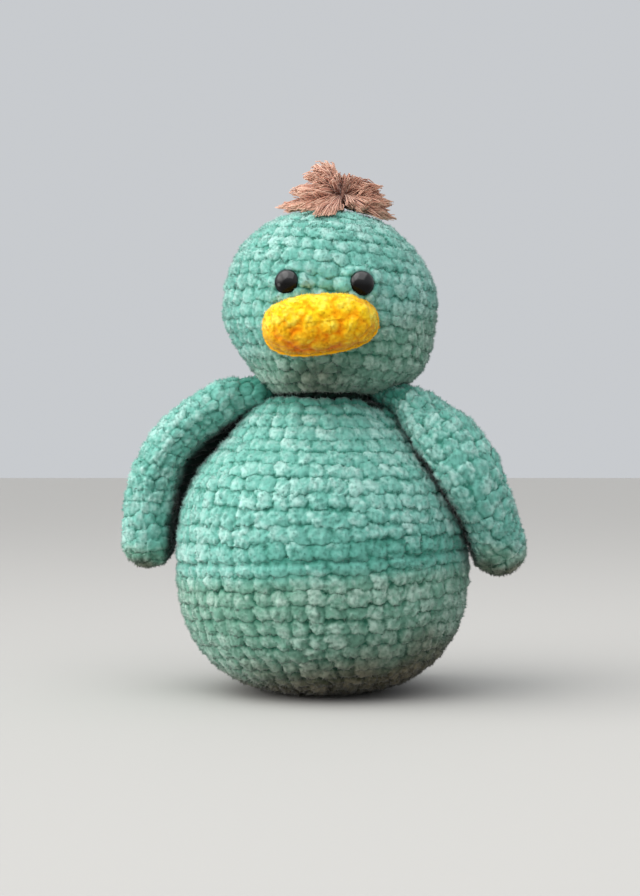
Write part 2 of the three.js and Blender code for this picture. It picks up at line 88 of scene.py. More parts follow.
wing_stitch = {
    "width": 7.2, "most": 12, "uneven": 1.9, "tall": 0.63, "wide": 1.18, "slant": 0.2,
    "square": 3.2, "side": 0.9, "lip": 0.3, "crumple": 0.2, "crease": 2.4, "crown": 0.9,
    "curl": 1.3, "fine": 0.3, "droop": 1.4, "curd": 5.2, "jumble": 0.3,
}

# How far up one round is from the next
body_round, body_round_below = 7.5, 6.75
head_round, bill_round, wing_round = 6.8, 6.1, 6.4

# How far the middle of the stitches lies inside each form
body_inset, head_inset, bill_inset, wing_inset = 1.1, 1.2, 1.7, 0.7

# Pile: the number of spikes, their length and width, and the seed of their draws
body_pile = (72000, 1.1, 0.28, 3)
head_pile = (48000, 1.1, 0.28, 4)
bill_pile = (8000, 0.8, 0.22, 5)
wing_pile = (13500, 1.1, 0.28)
spike_corners = (0, 2.0944, 4.18879)

# Grids: rows and columns of the cloth that is filled and of the stitches, and the linings' rows
body_cloth, body_grid = (52, 72), (330, 560)
head_cloth, head_grid = (44, 64), (236, 540)
bill_cloth, bill_grid = (22, 60), (70, 230)
wing_cloth, wing_grid = (42, 32), (224, 150)
body_lining, head_lining, bill_lining, wing_lining = 26, 22, 12, 24

# Filling: the cloth's frames, its pressure, and the way that a cover may move in millimetres
filling_frames = 20
filling_pressure = 4
body_swell, head_swell, bill_swell, wing_swell = 1.6, 1.4, 1.0, 1.0

# Body. Its rounds lean by the tilts, in degrees, at their heights. A groove follows the join
# line, with a strip of painted shade over it, and a collar of stitches stands round the neck.
body_radius = 70.0
body_widest = 63.0
body_top = 137.0
body_neck = 22.0
body_lower_powers = (2.4, 2.8)
body_upper_power = 2.75
body_flat = 0.5
join_height = 64.0
join_line_above = 1.2
body_tilt_heights = (0.0, 64.0, 100.0)
body_tilts = (0.6, 2.0, -2.2)
join_line_tilt = body_tilts[1] + 1
mean_round = 7.0
groove_depth, groove_width = 1.2, 0.9
join_shade_rise, join_shade_width = 2, 7.5
collar_height = 5.4
collar_more_right, collar_less_left = 0.5, 1.4
collar_less_behind = 0.7
# Where the painted shade of the folds under the head is darkest: the hollow by the left wing's
# root
collar_hollow = np.array([23.0, -14.0, 138.0])

# Head. The ball leans to the duck's left, sags a little out of round, and its underside hangs
# over the collar.
head_radius = 51.3
head_rise = 44.6
head_drop = 44.5
head_upper_power = 2.2
head_lower_power = 2.7
head_lean = math.radians(6.5)
head_shift = 3.8
face_turn = math.radians(3.6)
sag_low_right, sag_high_left, sag_low_left = 4.2, 2.0, 1.6
hang_front, hang_right = 1.4, 3.4
hang_less_behind = 0.8

# Neck
neck_yarn = 3.0
neck_ring = 21.0
neck_relief = math.radians(2)
neck_height = body_top + neck_yarn + seat_gap
neck_opening = neck_ring + neck_yarn + 2 * seat_gap
wad_radius = neck_ring - neck_yarn - seat_gap
wad_half_height = 15.0
wad_room = 3.0
neck_room = 7.5
cover_room, lining_room = 0.2, 2.0

# Bill. Its cover stands clear of the yarn that sews it on.
bill_half_width = 26.7
bill_half_height = 14.0
bill_reach = 19.0
bill_power = 2.5
bill_depth_power = 2.4
bill_roll = math.radians(5)
bill_below = 12.8
bill_side = -1.9
bill_taper = 0.06
bill_yarn = 1.2
bill_ridge = 7.0
bill_cover_ridge = 14.0
bill_cover_root = 2 * bill_yarn + 3 * seat_gap

# Eyes
eye_dome = 4.6
eye_rim = 0.6
eye_round = 0.35
eye_shown = 5.75
eye_post = 1.6
eye_post_length = 13.0
rib_depth, rib_spacing = 0.09, 1.3
eye_above = 6.0
eye_half_spacing = 16.8
eye_roll = math.radians(1.4)
eye_swell = 2.7

# Tuft. The tips of the yarn's ends are counted from the middle of the tied waist.
tie_yarn = 1.0
tie_loop = 4.2 + tie_yarn + seat_gap
tie_knot = 3.2
tuft_fibres = 5000
fibre_steps = 7
fibre_sides = 3
fibre_radius = 0.34
locks_per_tip = 7
waist_radius = 3.2
tuft_tips = [
    (-9.5, 0, 16.6), (-11, 5, 14.5), (-7, -3, 15.5), (-13.5, -3, 13.5), (-18, 2, 12),
    (-15, -7, 8), (-12, 9, 9), (-21, 4, 5), (-26.5, -1, 3.5), (-22, -9, 0), (-31.5, 2, -4),
    (-29, -3, -5.5), (-23, -12, -6.5), (-18, 13, 0), (-8, 17, 1), (-21, -13, -7.5),
    (-12, -28, -14), (-7.5, -29, -15), (-17, -23, -10.5), (-3.5, -23, -10), (-14.5, -19, -7),
    (-10, -12, -2), (-13, -12, 1), (-4.5, 2, 12), (-2.5, -4, 10), (0.5, 5, 9.5), (3, -3, 9),
    (6.5, 3, 8.8), (9, -3, 8), (-5, -8, 8), (2, -6, 8.5), (-1, 2, 10.5), (5, 0, 9), (0, 10, 5),
    (14.5, 2, 6.5), (12, -8, 4), (17, 8, 3), (20, -3, 3.5), (16, -10, 0), (22.5, 2, -1),
    (24.5, -5, -4.5), (20, -12, -5), (23.5, -8, -10.5), (18.5, -13, -10.5), (12, -15, -7),
    (9.8, -16, -8.5), (4, -16, -6), (9, 16, 0), (19, 12, -3), (8, 12, 5),
]

# Wings: how far each root's middle is below the body's top; stations down the middle line, as
# drops, distances off the body and turns round it; half sizes and twists at even steps; and how
# much deeper and fuller the crocheted root is than the form's. A ring of full size weighs as
# millimetres along the path.
wing_tip = 12.0
wing_yarn = 2.0
wing_root_share = 0.9
wing_lean_room, wing_lean_most = 1.4, 13
path_steps, blended_steps = 400, 60
ring_weight = 13
wings = {
    "left": {
        "side": 1,
        "below": 7.0,
        "drops": [0, 8, 16, 26, 35, 46, 55, 62],
        "offsets": [8, 10.8, 12.4, 12.8, 12.8, 12.8, 13.4, 14.2],
        "turns": [16, 21, 25, 26, 25, 20, 16, 12],
        "thin": [4.6, 8.6, 10.2, 10.4, 10.8, 12, 12.6],
        "broad": [9.5, 15, 18.2, 18, 15.6, 13.6, 13],
        "twists": [0, 16, 28, 30, 30, 26, 16],
        "root": (12.0, 2.6),
    },
    "right": {
        "side": -1,
        "below": 5.5,
        "drops": [0, 4, 9, 16, 25, 36, 48, 61],
        "offsets": [8.7, 12.2, 14.9, 17.4, 18.3, 17.2, 14.7, 13.5],
        "turns": [2, 2, 2, 2, 2, 1, 0, 0],
        "thin": [6.4, 10, 10.2, 10.2, 11, 12.4, 12.6],
        "broad": [9.5, 15, 18, 17.8, 15.6, 13.6, 13],
        "twists": [0, 0, 0, 0, 0, 0, 0],
        "root": (8.0, 2.4),
    },
}

up = np.array([0.0, 0.0, 1.0])
face_forward = np.array([-math.sin(face_turn), -math.cos(face_turn), 0.0])
face_left = np.cross(up, face_forward)
head_middle = np.array([head_shift, 0.0, neck_height + head_drop])
head_axes = np.array([
    [math.cos(head_lean), 0.0, -math.sin(head_lean)],
    [0.0, 1.0, 0.0],
    [math.sin(head_lean), 0.0, math.cos(head_lean)],
])
crown = head_middle + head_rise * head_axes[2]
tuft_waist = crown + (tie_loop + tie_yarn + seat_gap) * head_axes[2]


# Numbers and noise


def unit(vectors):
    """Each vector divided by its length."""
    return vectors / np.maximum(np.linalg.norm(vectors, axis=-1, keepdims=True), 1e-9)


def eased(value, low, high):
    """From 0 at low to 1 at high by the s-curve t * t * (3 - 2 t)."""
    t = np.clip((value - low) / (high - low), 0, 1)
    return t * t * (3 - 2 * t)


def chance(whole, seed):
    """A fixed random number from 0 to 1 for each set of whole numbers on the last axis: each
    is multiplied by a large odd number and added, and the bits are mixed after each."""
    mixed = np.full(whole.shape[:-1], seed * 40503 + 977, np.uint32)
    for axis in range(whole.shape[-1]):
        mixed = mixed + whole[..., axis].astype(np.int64).astype(np.uint32) * np.uint32(2654435761)
        mixed = (mixed ^ (mixed >> np.uint32(15))) * np.uint32(739982445)
        mixed = (mixed ^ (mixed >> np.uint32(12))) * np.uint32(695872825)
    return (mixed ^ (mixed >> np.uint32(15))) / 4294967296.0


def full_turn(steps):
    """The angles at even steps once round."""
    return 2 * math.pi * np.arange(steps) / steps


def lumps(places, width, seed):
    """Smooth noise from -1 to 1: the corners of a lattice of cubes have random values, and
    inside a cube the eight are blended with the s-curve t * t * (3 - 2 t)."""
    scaled = places / width
    floor = np.floor(scaled)
    part = scaled - floor
    part = part * part * (3 - 2 * part)
    floor = floor.astype(np.int64)
    total = np.zeros(places.shape[:-1])
    for corner in itertools.product((0, 1), repeat=3):
        weight = np.prod(np.where(corner, part, 1 - part), axis=-1)
        total += weight * chance(floor + np.array(corner), seed)
    return 2 * total - 1


def pebbles(places, width, seed):
    """Round lumps from 0 to 1: one seed lies at random in each cube of a lattice, and the
    height is 1 less the square of the distance to the nearest seed, in cube widths."""
    scaled = places / width
    floor = np.floor(scaled).astype(np.int64)
    nearest = np.full(places.shape[:-1], 9.0)
    for corner in itertools.product((-1, 0, 1), repeat=3):
        cube = floor + np.array(corner)
        distance = np.zeros(places.shape[:-1])
        for axis in range(3):
            thrown = cube[..., axis] + chance(cube, seed + 31 * axis)
            distance += (scaled[..., axis] - thrown) ** 2
        nearest = np.minimum(nearest, distance)
    return np.clip(1 - nearest, 0, 1)


def cubic(values, at, closed):
    """Values along the first axis read at fractional steps, on the curve of third degree
    through the four nearest. Closed, the last runs on into the first."""
    count = len(values)
    index = np.floor(at).astype(int)
    if not closed:
        index = np.minimum(index, count - 2)
    t = (at - index).reshape(-1, *[1] * (values.ndim - 1))
    before, near, far, beyond = (
        values[(index + step) % count] if closed else values[np.clip(index + step, 0, count - 1)]
        for step in (-1, 0, 1, 2)
    )
    bend = 2 * before - 5 * near + 4 * far - beyond + t * (3 * (near - far) + beyond - before)
    return near + 0.5 * t * (far - before + t * bend)


# Forms


def body_radius_at(height):
    """Below the widest place R (1 - d^a)^(1/b), with d the depth below it over the whole
    depth; above it the neck's radius plus the rest times 1 - h^c, with h the share of rise."""
    depth = np.clip((body_widest - height) / (body_widest + body_flat), 0, 1)
    across, along = body_lower_powers
    lower = body_radius * np.maximum(1 - depth ** across, 0) ** (1 / along)
    rise = np.clip((height - body_widest) / (body_top - body_widest), 0, None)
    upper = body_neck + (body_radius - body_neck) * (1 - rise ** body_upper_power)
    return np.where(height < body_widest, lower, upper)


def body_normal_at(height):
    """The body's outward direction in its profile, as outward and up parts."""
    slope = (body_radius_at(height) - body_radius_at(height - 0.1)) / 0.1
    length = np.hypot(1, slope)
    return 1 / length, -slope / length


def spaced(points, count):
    """A line of points read again at even lengths along it."""
    steps = np.linalg.norm(np.diff(points, axis=0), axis=1)
    arc = np.concatenate([[0], np.cumsum(steps)])
    even = np.linspace(0, arc[-1], count)
    return np.stack([np.interp(even, arc, part) for part in points.T], axis=1)


def body_line(inset, count, base=0.0):
    """The body's profile, radius and height, from the middle of the bottom up to the neck,
    drawn in by an inset along its normal."""
    angle = np.linspace(-math.pi / 2, math.pi / 2, 1200)[1:]
    span = np.where(angle < 0, body_widest, body_top - body_widest)
    height = body_widest + span * np.sin(angle)
    outward, rising = body_normal_at(height)
    line = np.stack([body_radius_at(height) - inset * outward, height - inset * rising], axis=1)
    line = line[line[:, 1] > inset + base]
    return spaced(np.concatenate([[[0, inset + base]], line]), count)


def around(line, columns):
    """A profile turned about Z. The place at a share u round is (r sin a, -r cos a, z) with
    a = 2 pi (u - 1/2): u = 1/2 is the front, and u grows towards the duck's left."""
    angle = 2 * math.pi * (np.arange(columns) / columns - 0.5)
    radius, height = line[:, :1], line[:, 1:]
    ring = [radius * np.sin(angle), -radius * np.cos(angle), np.repeat(height, columns, axis=1)]
    return np.stack(ring, axis=-1)


def rounded(angle, power):
    """A rounded outline at an angle: cosine and sine over (|cos|^p + |sin|^p)^(1/p)."""
    across, along = np.cos(angle), np.sin(angle)
    scale = (np.abs(across) ** power + np.abs(along) ** power) ** (-1 / power)
    return across * scale, along * scale


def head_line(inset, count, low_angle):
    """The head's profile about its middle, from an angle below its equator to the crown."""
    angle = np.linspace(low_angle, math.pi / 2, 1500)
    lower = rounded(angle, head_lower_power)
    upper = rounded(angle, head_upper_power)
    across = np.where(angle < 0, lower[0], upper[0]) * (head_radius - inset)
    along = np.where(angle < 0, lower[1] * (head_drop - inset), upper[1] * (head_rise - inset))
    return spaced(np.stack([across, along], axis=1), count)


def on_head(places):
    """From the head's own axes to the room's."""
    return places @ head_axes + head_middle


def head_level(places):
    """Under 1 inside the head and 1 on its surface."""
    local = (places - head_middle) @ head_axes.T
    lower = local[..., 2] < 0
    power = np.where(lower, head_lower_power, head_upper_power)
    across = np.hypot(local[..., 0], local[..., 1]) / head_radius
    along = np.abs(local[..., 2]) / np.where(lower, head_drop, head_rise)
    return (across ** power + along ** power) ** (1 / power)


def on_face(left, upwards):
    """Places on the head's front at distances to the duck's left and up from the head's
    middle, found by halving along the way the face looks, with the outward directions."""
    left, upwards = np.broadcast_arrays(np.asarray(left, float), np.asarray(upwards, float))
    start = head_middle + left[..., None] * face_left + upwards[..., None] * up
    near, far = np.zeros(left.shape), np.full(left.shape, 2 * head_radius)
    for _ in range(40):
        middle = (near + far) / 2
        inside = head_level(start + middle[..., None] * face_forward) < 1
        near, far = np.where(inside, middle, near), np.where(inside, far, middle)
    place = start + near[..., None] * face_forward
    level = head_level(place)
    slope = [head_level(place + 0.1 * axis) - level for axis in np.eye(3)]
    return place, unit(np.stack(slope, axis=-1))


def eye_foot(side):
    """Where an eye stands on the head and its outward direction: side is 1 for the left."""
    drop = side * eye_half_spacing * math.tan(eye_roll)
    return on_face(side * eye_half_spacing, eye_above - drop)


def bill_outline(angle, half_width, half_height):
    """A rounded oblong, fuller at the duck's right end, rolled with the face."""
    across, along = rounded(angle, bill_power)
    wide = half_width * across
    tall = half_height * along * (1 - bill_taper * wide / bill_half_width)
    return (wide * math.cos(bill_roll) - tall * math.sin(bill_roll),
            wide * math.sin(bill_roll) + tall * math.cos(bill_roll))


def bill_form(inset, rows, columns, root, ridge=bill_ridge):
    """Rings from the head out to the bill's front. The depth follows a rounded quarter, and
    each ring is the outline drawn in to a short ridge across the front."""
    turn = np.linspace(0, math.pi / 2, 400)
    across, along = rounded(turn, bill_depth_power)
    line = spaced(np.stack([bill_half_height * across, bill_reach * along], axis=1), rows)
    drawn = (line[:, 0] / bill_half_height)[:, None]
    ahead = line[:, 1] * (1 - inset / bill_reach)
    angle = full_turn(columns)
    wide = (ridge + (bill_half_width - ridge) * drawn) - inset
    tall = np.maximum((bill_half_height - inset) * drawn, 0)
    left, upwards = bill_outline(angle[None, :], wide, tall)
    middle, _ = on_face(bill_side, -bill_below)
    places = (middle + left[..., None] * face_left + upwards[..., None] * up
              + ahead[:, None, None] * face_forward)
    foot, normal = on_face(bill_side + left[0], upwards[0] - bill_below)
    first = foot + root * normal
    along_face = ((places - first) * face_forward).sum(-1)
    reach = (places[-1:] - first) @ face_forward
    share = np.clip(ahead / bill_reach, 0, 1)[:, None]
    settled = first + (places - first) - (along_face - share * reach)[..., None] * face_forward
    return np.where(share[..., None] < 1, settled, places)


def stepped(values, share):
    """A list at even steps read at a share of the way along, eased between the steps."""
    values = np.asarray(values, float)
    place = np.clip(share, 0, 1) * (len(values) - 1)
    index = np.minimum(np.floor(place).astype(int), len(values) - 2)
    part = place - index
    part = part * part * (3 - 2 * part)
    return values[index] + (values[index + 1] - values[index]) * part


def over_body(side, height, distance, turn):
    """Places over the body's surface: the foot's height, the distance off it, and the turn."""
    outward, rising = body_normal_at(height)
    reach = body_radius_at(height) + distance * outward
    return np.stack([side * reach * np.cos(turn), -reach * np.sin(turn),
                     height + distance * rising], axis=-1)


def wing_path(wing, count):
    """A smooth curve through the wing's stations, read at even lengths: between two places
    the knots are spaced by the square root of their distance."""
    shoulder = body_top - wing["below"]
    stations = over_body(wing["side"], shoulder - np.array(wing["drops"], float),
                         np.array(wing["offsets"], float), np.radians(wing["turns"]))
    ends = [2 * stations[:1] - stations[1:2], stations, 2 * stations[-1:] - stations[-2:-1]]
    places = np.concatenate(ends)
    pieces = []
    for before, near, far, beyond in zip(places, places[1:], places[2:], places[3:]):
        steps = ((before, near), (near, far), (far, beyond))
        gaps = [math.sqrt(np.linalg.norm(b - a)) for a, b in steps]
        leave = ((near - before) / gaps[0] - (far - before) / (gaps[0] + gaps[1])
                 + (far - near) / gaps[1]) * gaps[1]
        reach = ((far - near) / gaps[1] - (beyond - near) / (gaps[1] + gaps[2])
                 + (beyond - far) / gaps[2]) * gaps[1]
        t = np.linspace(0, 1, 40, endpoint=False)[:, None]
        pieces.append(near * (2 * t ** 3 - 3 * t ** 2 + 1) + leave * (t ** 3 - 2 * t ** 2 + t)
                      + far * (3 * t ** 2 - 2 * t ** 3) + reach * (t ** 3 - t ** 2))
    return spaced(np.concatenate([*pieces, stations[-1:]]), count)


def wing_form(wing, inset, rows, columns, root_share, reach=0.0, fuller=0.0):
    """Oval rings from the root to the tip, evenly spaced over the surface: thin across the
    body's surface, broad along it and twisted. Root and tip are rounded ends. The root may
    reach further in, and be fuller on its side away from the body."""
    path = wing_path(wing, path_steps)
    length = np.linalg.norm(np.diff(path, axis=0), axis=1).sum()
    root, tip = wing["thin"][0] - inset, wing_tip - inset
    turn = np.linspace(math.asin(root_share), 0, 60)
    start = np.stack([-root * np.sin(turn) - reach, np.cos(turn)], axis=1)
    turn = np.linspace(0, math.pi / 2, 120)
    end = np.stack([length + tip * np.sin(turn), np.cos(turn)], axis=1)
    line = spaced(np.concatenate([start, end]) * [1, ring_weight], rows) / [1, ring_weight]
    place, size = line[:, 0], line[:, 1]
    share = np.clip(place / length, 0, 1)
    steps = np.arange(path_steps)
    ahead, middle = (
        np.stack([np.interp(share * steps[-1], steps, part) for part in curve.T], axis=1)
        for curve in (unit(np.gradient(path, axis=0)), path)
    )
    middle = middle + unit(ahead) * (place - np.clip(place, 0, length))[:, None]
    angle = np.radians(stepped(wing["turns"], share))
    broad = np.stack([-wing["side"] * np.sin(angle), -np.cos(angle), 0 * angle], axis=1)
    broad = unit(broad - (broad * ahead).sum(1, keepdims=True) * ahead)
    twist = wing["side"] * np.radians(stepped(wing["twists"], share))[:, None]
    broad = broad * np.cos(twist) + np.cross(ahead, broad) * np.sin(twist)
    thin = np.cross(ahead, broad)
    round_it = full_turn(columns)
    extra = fuller * (1 - eased(place, 0, 24))
    away = np.sign((thin * middle * [1, 1, 0]).sum(1))
    middle = middle + (extra * away)[:, None] * thin
    half_broad = ((stepped(wing["broad"], share) - inset) * size)[:, None, None]
    half_thin = ((stepped(wing["thin"], share) + extra - inset) * size)[:, None, None]
    return (middle[:, None] + broad[:, None] * half_broad * np.cos(round_it)[None, :, None]
            + thin[:, None] * half_thin * np.sin(round_it)[None, :, None])


# Meshes


def strip_faces(rows, columns, looped=False):
    """The quads of a grid whose last column meets its first, as vertex numbers. Looped, its
    last row meets its first too."""
    number = np.arange(rows * columns).reshape(rows, columns)
    here = number if looped else number[:-1]
    above = np.roll(number, -1, axis=0) if looped else number[1:]
    faces = [here, np.roll(here, -1, axis=1), np.roll(above, -1, axis=1), above]
    return np.stack(faces, axis=-1).reshape(-1, 4)


def placed(name, data):
    """An object with its data, linked to the scene."""
    thing = bpy.data.objects.new(name, data)
    bpy.context.scene.collection.objects.link(thing)
    return thing


def made(name, places, quads, triangles, values, finish, nap=None):
    """A mesh object from places in millimetres, faces and one set of values a vertex each.
    The last vertices are the nap's: they catch the light as the yarn under them does, so
    each is given the yarn's own outward direction."""
    mesh = bpy.data.meshes.new(name)
    loops = np.concatenate([quads.reshape(-1), triangles.reshape(-1)]).astype(np.int32)
    sizes = np.concatenate([np.full(len(quads), 4), np.full(len(triangles), 3)])
    mesh.vertices.add(len(places))
    mesh.loops.add(len(loops))
    mesh.polygons.add(len(sizes))
    mesh.vertices.foreach_set("co", (places * 0.001).astype(np.float32).reshape(-1))
    mesh.loops.foreach_set("vertex_index", loops)
    starts = np.concatenate([[0], np.cumsum(sizes)[:-1]]).astype(np.int32)
    mesh.polygons.foreach_set("loop_start", starts)
    mesh.polygons.foreach_set("use_smooth", np.full(len(sizes), True))
    for key, value in values.items():
        attribute = mesh.attributes.new(key, "FLOAT", "POINT")
        attribute.data.foreach_set("value", value.astype(np.float32).reshape(-1))
    mesh.update(calc_edges=True)
    mesh.validate()
    if nap is not None:
        normals = np.empty(len(places) * 3, np.float32)
        mesh.vertex_normals.foreach_get("vector", normals)
        normals = normals.reshape(-1, 3)
        normals[-len(nap):] = nap
        mesh.normals_split_custom_set_from_vertices(normals)
    mesh.materials.append(finish)
    return placed(name, mesh)


def closed_grid(grid, zipped=False):
    """A grid as one closed surface: vertices, quads and triangles. Its first and last rows
    are each drawn together into one pole. Zipped, the last row is a flat slot that is closed
    by quads from side to side."""
    if zipped:
        grid = np.concatenate([grid, grid[-1:]])
    rows, columns = grid.shape[:2]
    inner = grid[1:-1].reshape(-1, 3)
    poles = np.stack([grid[0].mean(0), grid[-1].mean(0)])
    quads = strip_faces(rows - 2, columns)
    first = np.arange(columns)
    following = (first + 1) % columns
    last = first + (rows - 3) * columns
    bottom = np.stack([np.full(columns, len(inner)), following, first], axis=1)
    if zipped:
        step = np.arange(columns // 2)
        across = np.stack([step, step + 1, columns - step - 1, (columns - step) % columns], axis=1)
        quads = np.concatenate([quads, across[1:-1] + last[0]])
        caps = np.array([[0, 1, columns - 1], [columns // 2 - 1, columns // 2, columns // 2 + 1]])
        return np.concatenate([inner, poles[:1]]), quads, np.concatenate([bottom, caps + last[0]])
    top = np.stack([np.full(columns, len(inner) + 1), last, last - first + following], axis=1)
    return np.concatenate([inner, poles]), quads, np.concatenate([bottom, top])


def on_grid(values, zipped=False):
    """Values on a closed grid in the order of its vertices."""
    values = np.asarray(values, float)
    if zipped:
        return np.concatenate([values[1:].reshape(-1), [values[0].mean()]])
    poles = [values[0].mean(), values[-1].mean()]
    return np.concatenate([values[1:-1].reshape(-1), poles])


def filled(grid, most, held):
    """A closed bag blown up a little by its filling: the grid is a cloth for some frames
    under a pressure from inside, with no gravity and its held rows pinned, and no place moves
    by more than `most`. The grid keeps its rows and columns."""
    vertices, quads, triangles = closed_grid(grid)
    bag = made("bag", vertices, quads, triangles, {}, None)
    pins = bag.vertex_groups.new(name="held")
    rows, columns = grid.shape[:2]
    for row in held:
        first = (row - 1) * columns
        pins.add(list(range(first, first + columns)), 1.0, "REPLACE")
    cloth = bag.modifiers.new("filling", "CLOTH")
    cloth.settings.quality = 6
    cloth.settings.mass = 0.15
    cloth.settings.tension_stiffness = 12
    cloth.settings.compression_stiffness = 12
    cloth.settings.bending_stiffness = 0.6
    cloth.settings.use_pressure = True
    cloth.settings.uniform_pressure_force = filling_pressure
    cloth.settings.vertex_group_mass = "held"
    cloth.settings.effector_weights.gravity = 0
    cloth.point_cache.frame_start = 1
    cloth.point_cache.frame_end = filling_frames
    for step in range(1, filling_frames + 1):
        bpy.context.scene.frame_set(step)
    evaluated = bag.evaluated_get(bpy.context.evaluated_depsgraph_get())
    moved = np.empty(len(vertices) * 3, np.float32)
    evaluated.data.vertices.foreach_get("co", moved)
    moved = moved.reshape(-1, 3).astype(float) * 1000
    move = moved - vertices
    length = np.linalg.norm(move, axis=1, keepdims=True)
    move = move * np.minimum(1, most / np.maximum(length, 1e-9))
    settled = vertices + move
    bpy.data.objects.remove(bag)
    bpy.context.scene.frame_set(1)
    inner = settled[:-2].reshape(rows - 2, columns, 3)
    ends = [grid[k] + (inner[k] - grid[near]).mean(0) for k, near in ((0, 1), (-1, -2))]
    return np.concatenate([ends[0][None], inner, ends[1][None]])


def finer(grid, rows, columns):
    """The grid read at more rows and columns, on cubic curves through its places."""
    grid = cubic(grid, np.linspace(0, len(grid) - 1, rows), False)
    turned = cubic(grid.swapaxes(0, 1), np.arange(columns) * grid.shape[1] / columns, True)
    return turned.swapaxes(0, 1)


def directions(grid):
    """For each place of a grid the ways along its row, up its column and out of it."""
    along = np.roll(grid, -1, axis=1) - np.roll(grid, 1, axis=1)
    upward = np.gradient(grid, axis=0)
    outward = unit(np.cross(along, upward))
    for row, near in ((0, 2), (1, 2), (-1, -3)):
        outward[row] = unit(outward[near].mean(0))
    outward[-2] = outward[-3]
    return unit(along), unit(upward), outward


def arc_of(grid):
    """The length up the grid from its first row, the mean of its columns."""
    steps = np.linalg.norm(np.diff(grid, axis=0), axis=-1).mean(1)
    return np.concatenate([[0], np.cumsum(steps)])


def girth_of(grid):
    """The length round each row of the grid."""
    return np.linalg.norm(np.roll(grid, -1, axis=1) - grid, axis=-1).sum(1)


# Stitches


def crocheted(grid, rise, look, seed, tilt=0.0):
    """Rounds of stitches raised from a grid. `rise` counts rounds up the grid's rows, and
    `tilt` adds to it at each place. The rounds are one spiral, so the round at a share u
    round is rise - u, and the stitches are counted on along it: their number is the sum of
    (girth / stitch width) over the turns.

    A stitch is a soft knob of height (1 - a |x|^s - |y|^2.8)^0.65 times 1 - lip y, with x
    and y from -1 to 1 across and up it. It is wider and taller than its own place, and of
    the four nearest the highest shows, so each knob's foot hangs over the round below. Some
    patches are crumpled. Returns the raised grid, how high each place is on its stitch, a
    tone that is random for each stitch, with painted light that makes it palest at a stitch's
    upper right end, and no painted shadow yet."""
    rows, columns = grid.shape[:2]
    share = np.arange(columns)[None, :] / columns
    _, upward, outward = directions(grid)
    if "front" in look:
        met = eased(np.arange(rows), rows - 1 - look["front"], rows - 1)[:, None, None]
        outward = unit(outward * (1 - met) + outward[-1].mean(0) * met)
    counts = np.clip(girth_of(grid) / look["width"], 5, look["most"])
    total = np.concatenate([[0], np.cumsum((counts[1:] + counts[:-1]) / 2 * np.diff(rise))])
    warp = look["uneven"]
    climb = rise[:, None] - share + tilt + 0.1 * warp * lumps(grid, 15, seed)
    climb = climb + 0.05 * warp * lumps(grid, 5, seed + 1)
    sideways = 0.16 * warp * lumps(grid, 11, seed + 2) + 0.05 * warp * lumps(grid, 4, seed + 3)
    level = np.full(climb.shape, -9.0)
    tone, foot, loose = np.zeros(climb.shape), np.zeros(climb.shape), np.zeros(climb.shape)
    ragged = [0.2 * lumps(grid, 2.4, seed + 30 + k) + 0.16 * lumps(grid, 1.4, seed + 32 + k)
              for k in (0, 1)]
    for above in (0, 1):
        row = np.floor(climb) + above
        count = np.interp(row + 0.5 + share, rise, total) + sideways
        for beside in (0, 1):
            stitch = np.floor(count - 0.5) + beside
            own = np.stack([row, stitch], axis=-1)
            throw = [2 * chance(own, seed + 4 + k) - 1 for k in range(6)]
            y = climb - row - 0.42 - 0.09 * warp * throw[0]
            y = y / (look["tall"] * (1 + 0.08 * throw[1]))
            x = 2 * (count - stitch) - 1 + 0.12 * warp * throw[2] + look["slant"] * y
            x = x / (look["wide"] * (1 + 0.1 * throw[3])) + ragged[0]
            y = y + ragged[1]
            aside = look["side"] * np.abs(x) ** look["square"]
            knob = np.clip(1 - aside - np.abs(y) ** 2.8, 0, 1) ** 0.65
            knob = knob * (1 - look["lip"] * y + 0.13 * throw[4])
            taken = knob > level
            level = np.where(taken, knob, level)
            # Painted light: each stitch's tone is paler towards its upper end and the duck's
            # right, on top of a random share
            tone = np.where(taken, 0.65 * throw[5] - 0.5 * x + 0.35 * y, tone)
            foot = np.where(taken, np.clip(-y, 0, 1), foot)
            loose = np.where(taken, throw[1], loose)
    curds = pebbles(grid + 0.8 * lumps(grid, 5, seed + 15)[..., None], look["curd"], seed + 16)
    level = np.maximum(level, 0) * (1 - look["jumble"]) + look["jumble"] * curds
    crumpled = eased(lumps(grid, 26, seed + 20) + look["crumple"], -0.1, 0.7)
    curly = pebbles(grid + 1.2 * lumps(grid, 5, seed + 11)[..., None], 2.3, seed + 12)
    fuzz = 0.8 * lumps(grid, 1.6, seed + 13) + 0.3 * lumps(grid, 1.0, seed + 14)
    relief = (look["crease"] * (level - 1) + look["crown"]
              + look["curl"] * (0.55 + 0.8 * crumpled) * (curly - 0.6)
              + look["fine"] * (0.7 + 0.8 * crumpled) * fuzz)
    droop = look["droop"] * level * foot * (1 + 0.5 * loose)
    raised = grid + relief[..., None] * outward - droop[..., None] * upward
    for end in look.get("poles", (0, -1)):
        raised[end] = raised[end].mean(0)
    high = np.clip(level * (0.8 + 0.3 * curly), 0, 1)
    tone = tone + 0.9 * (0.4 + crumpled) * (curly - 0.5) + 0.12 * fuzz
    return [raised, high, tone, np.zeros(high.shape)]


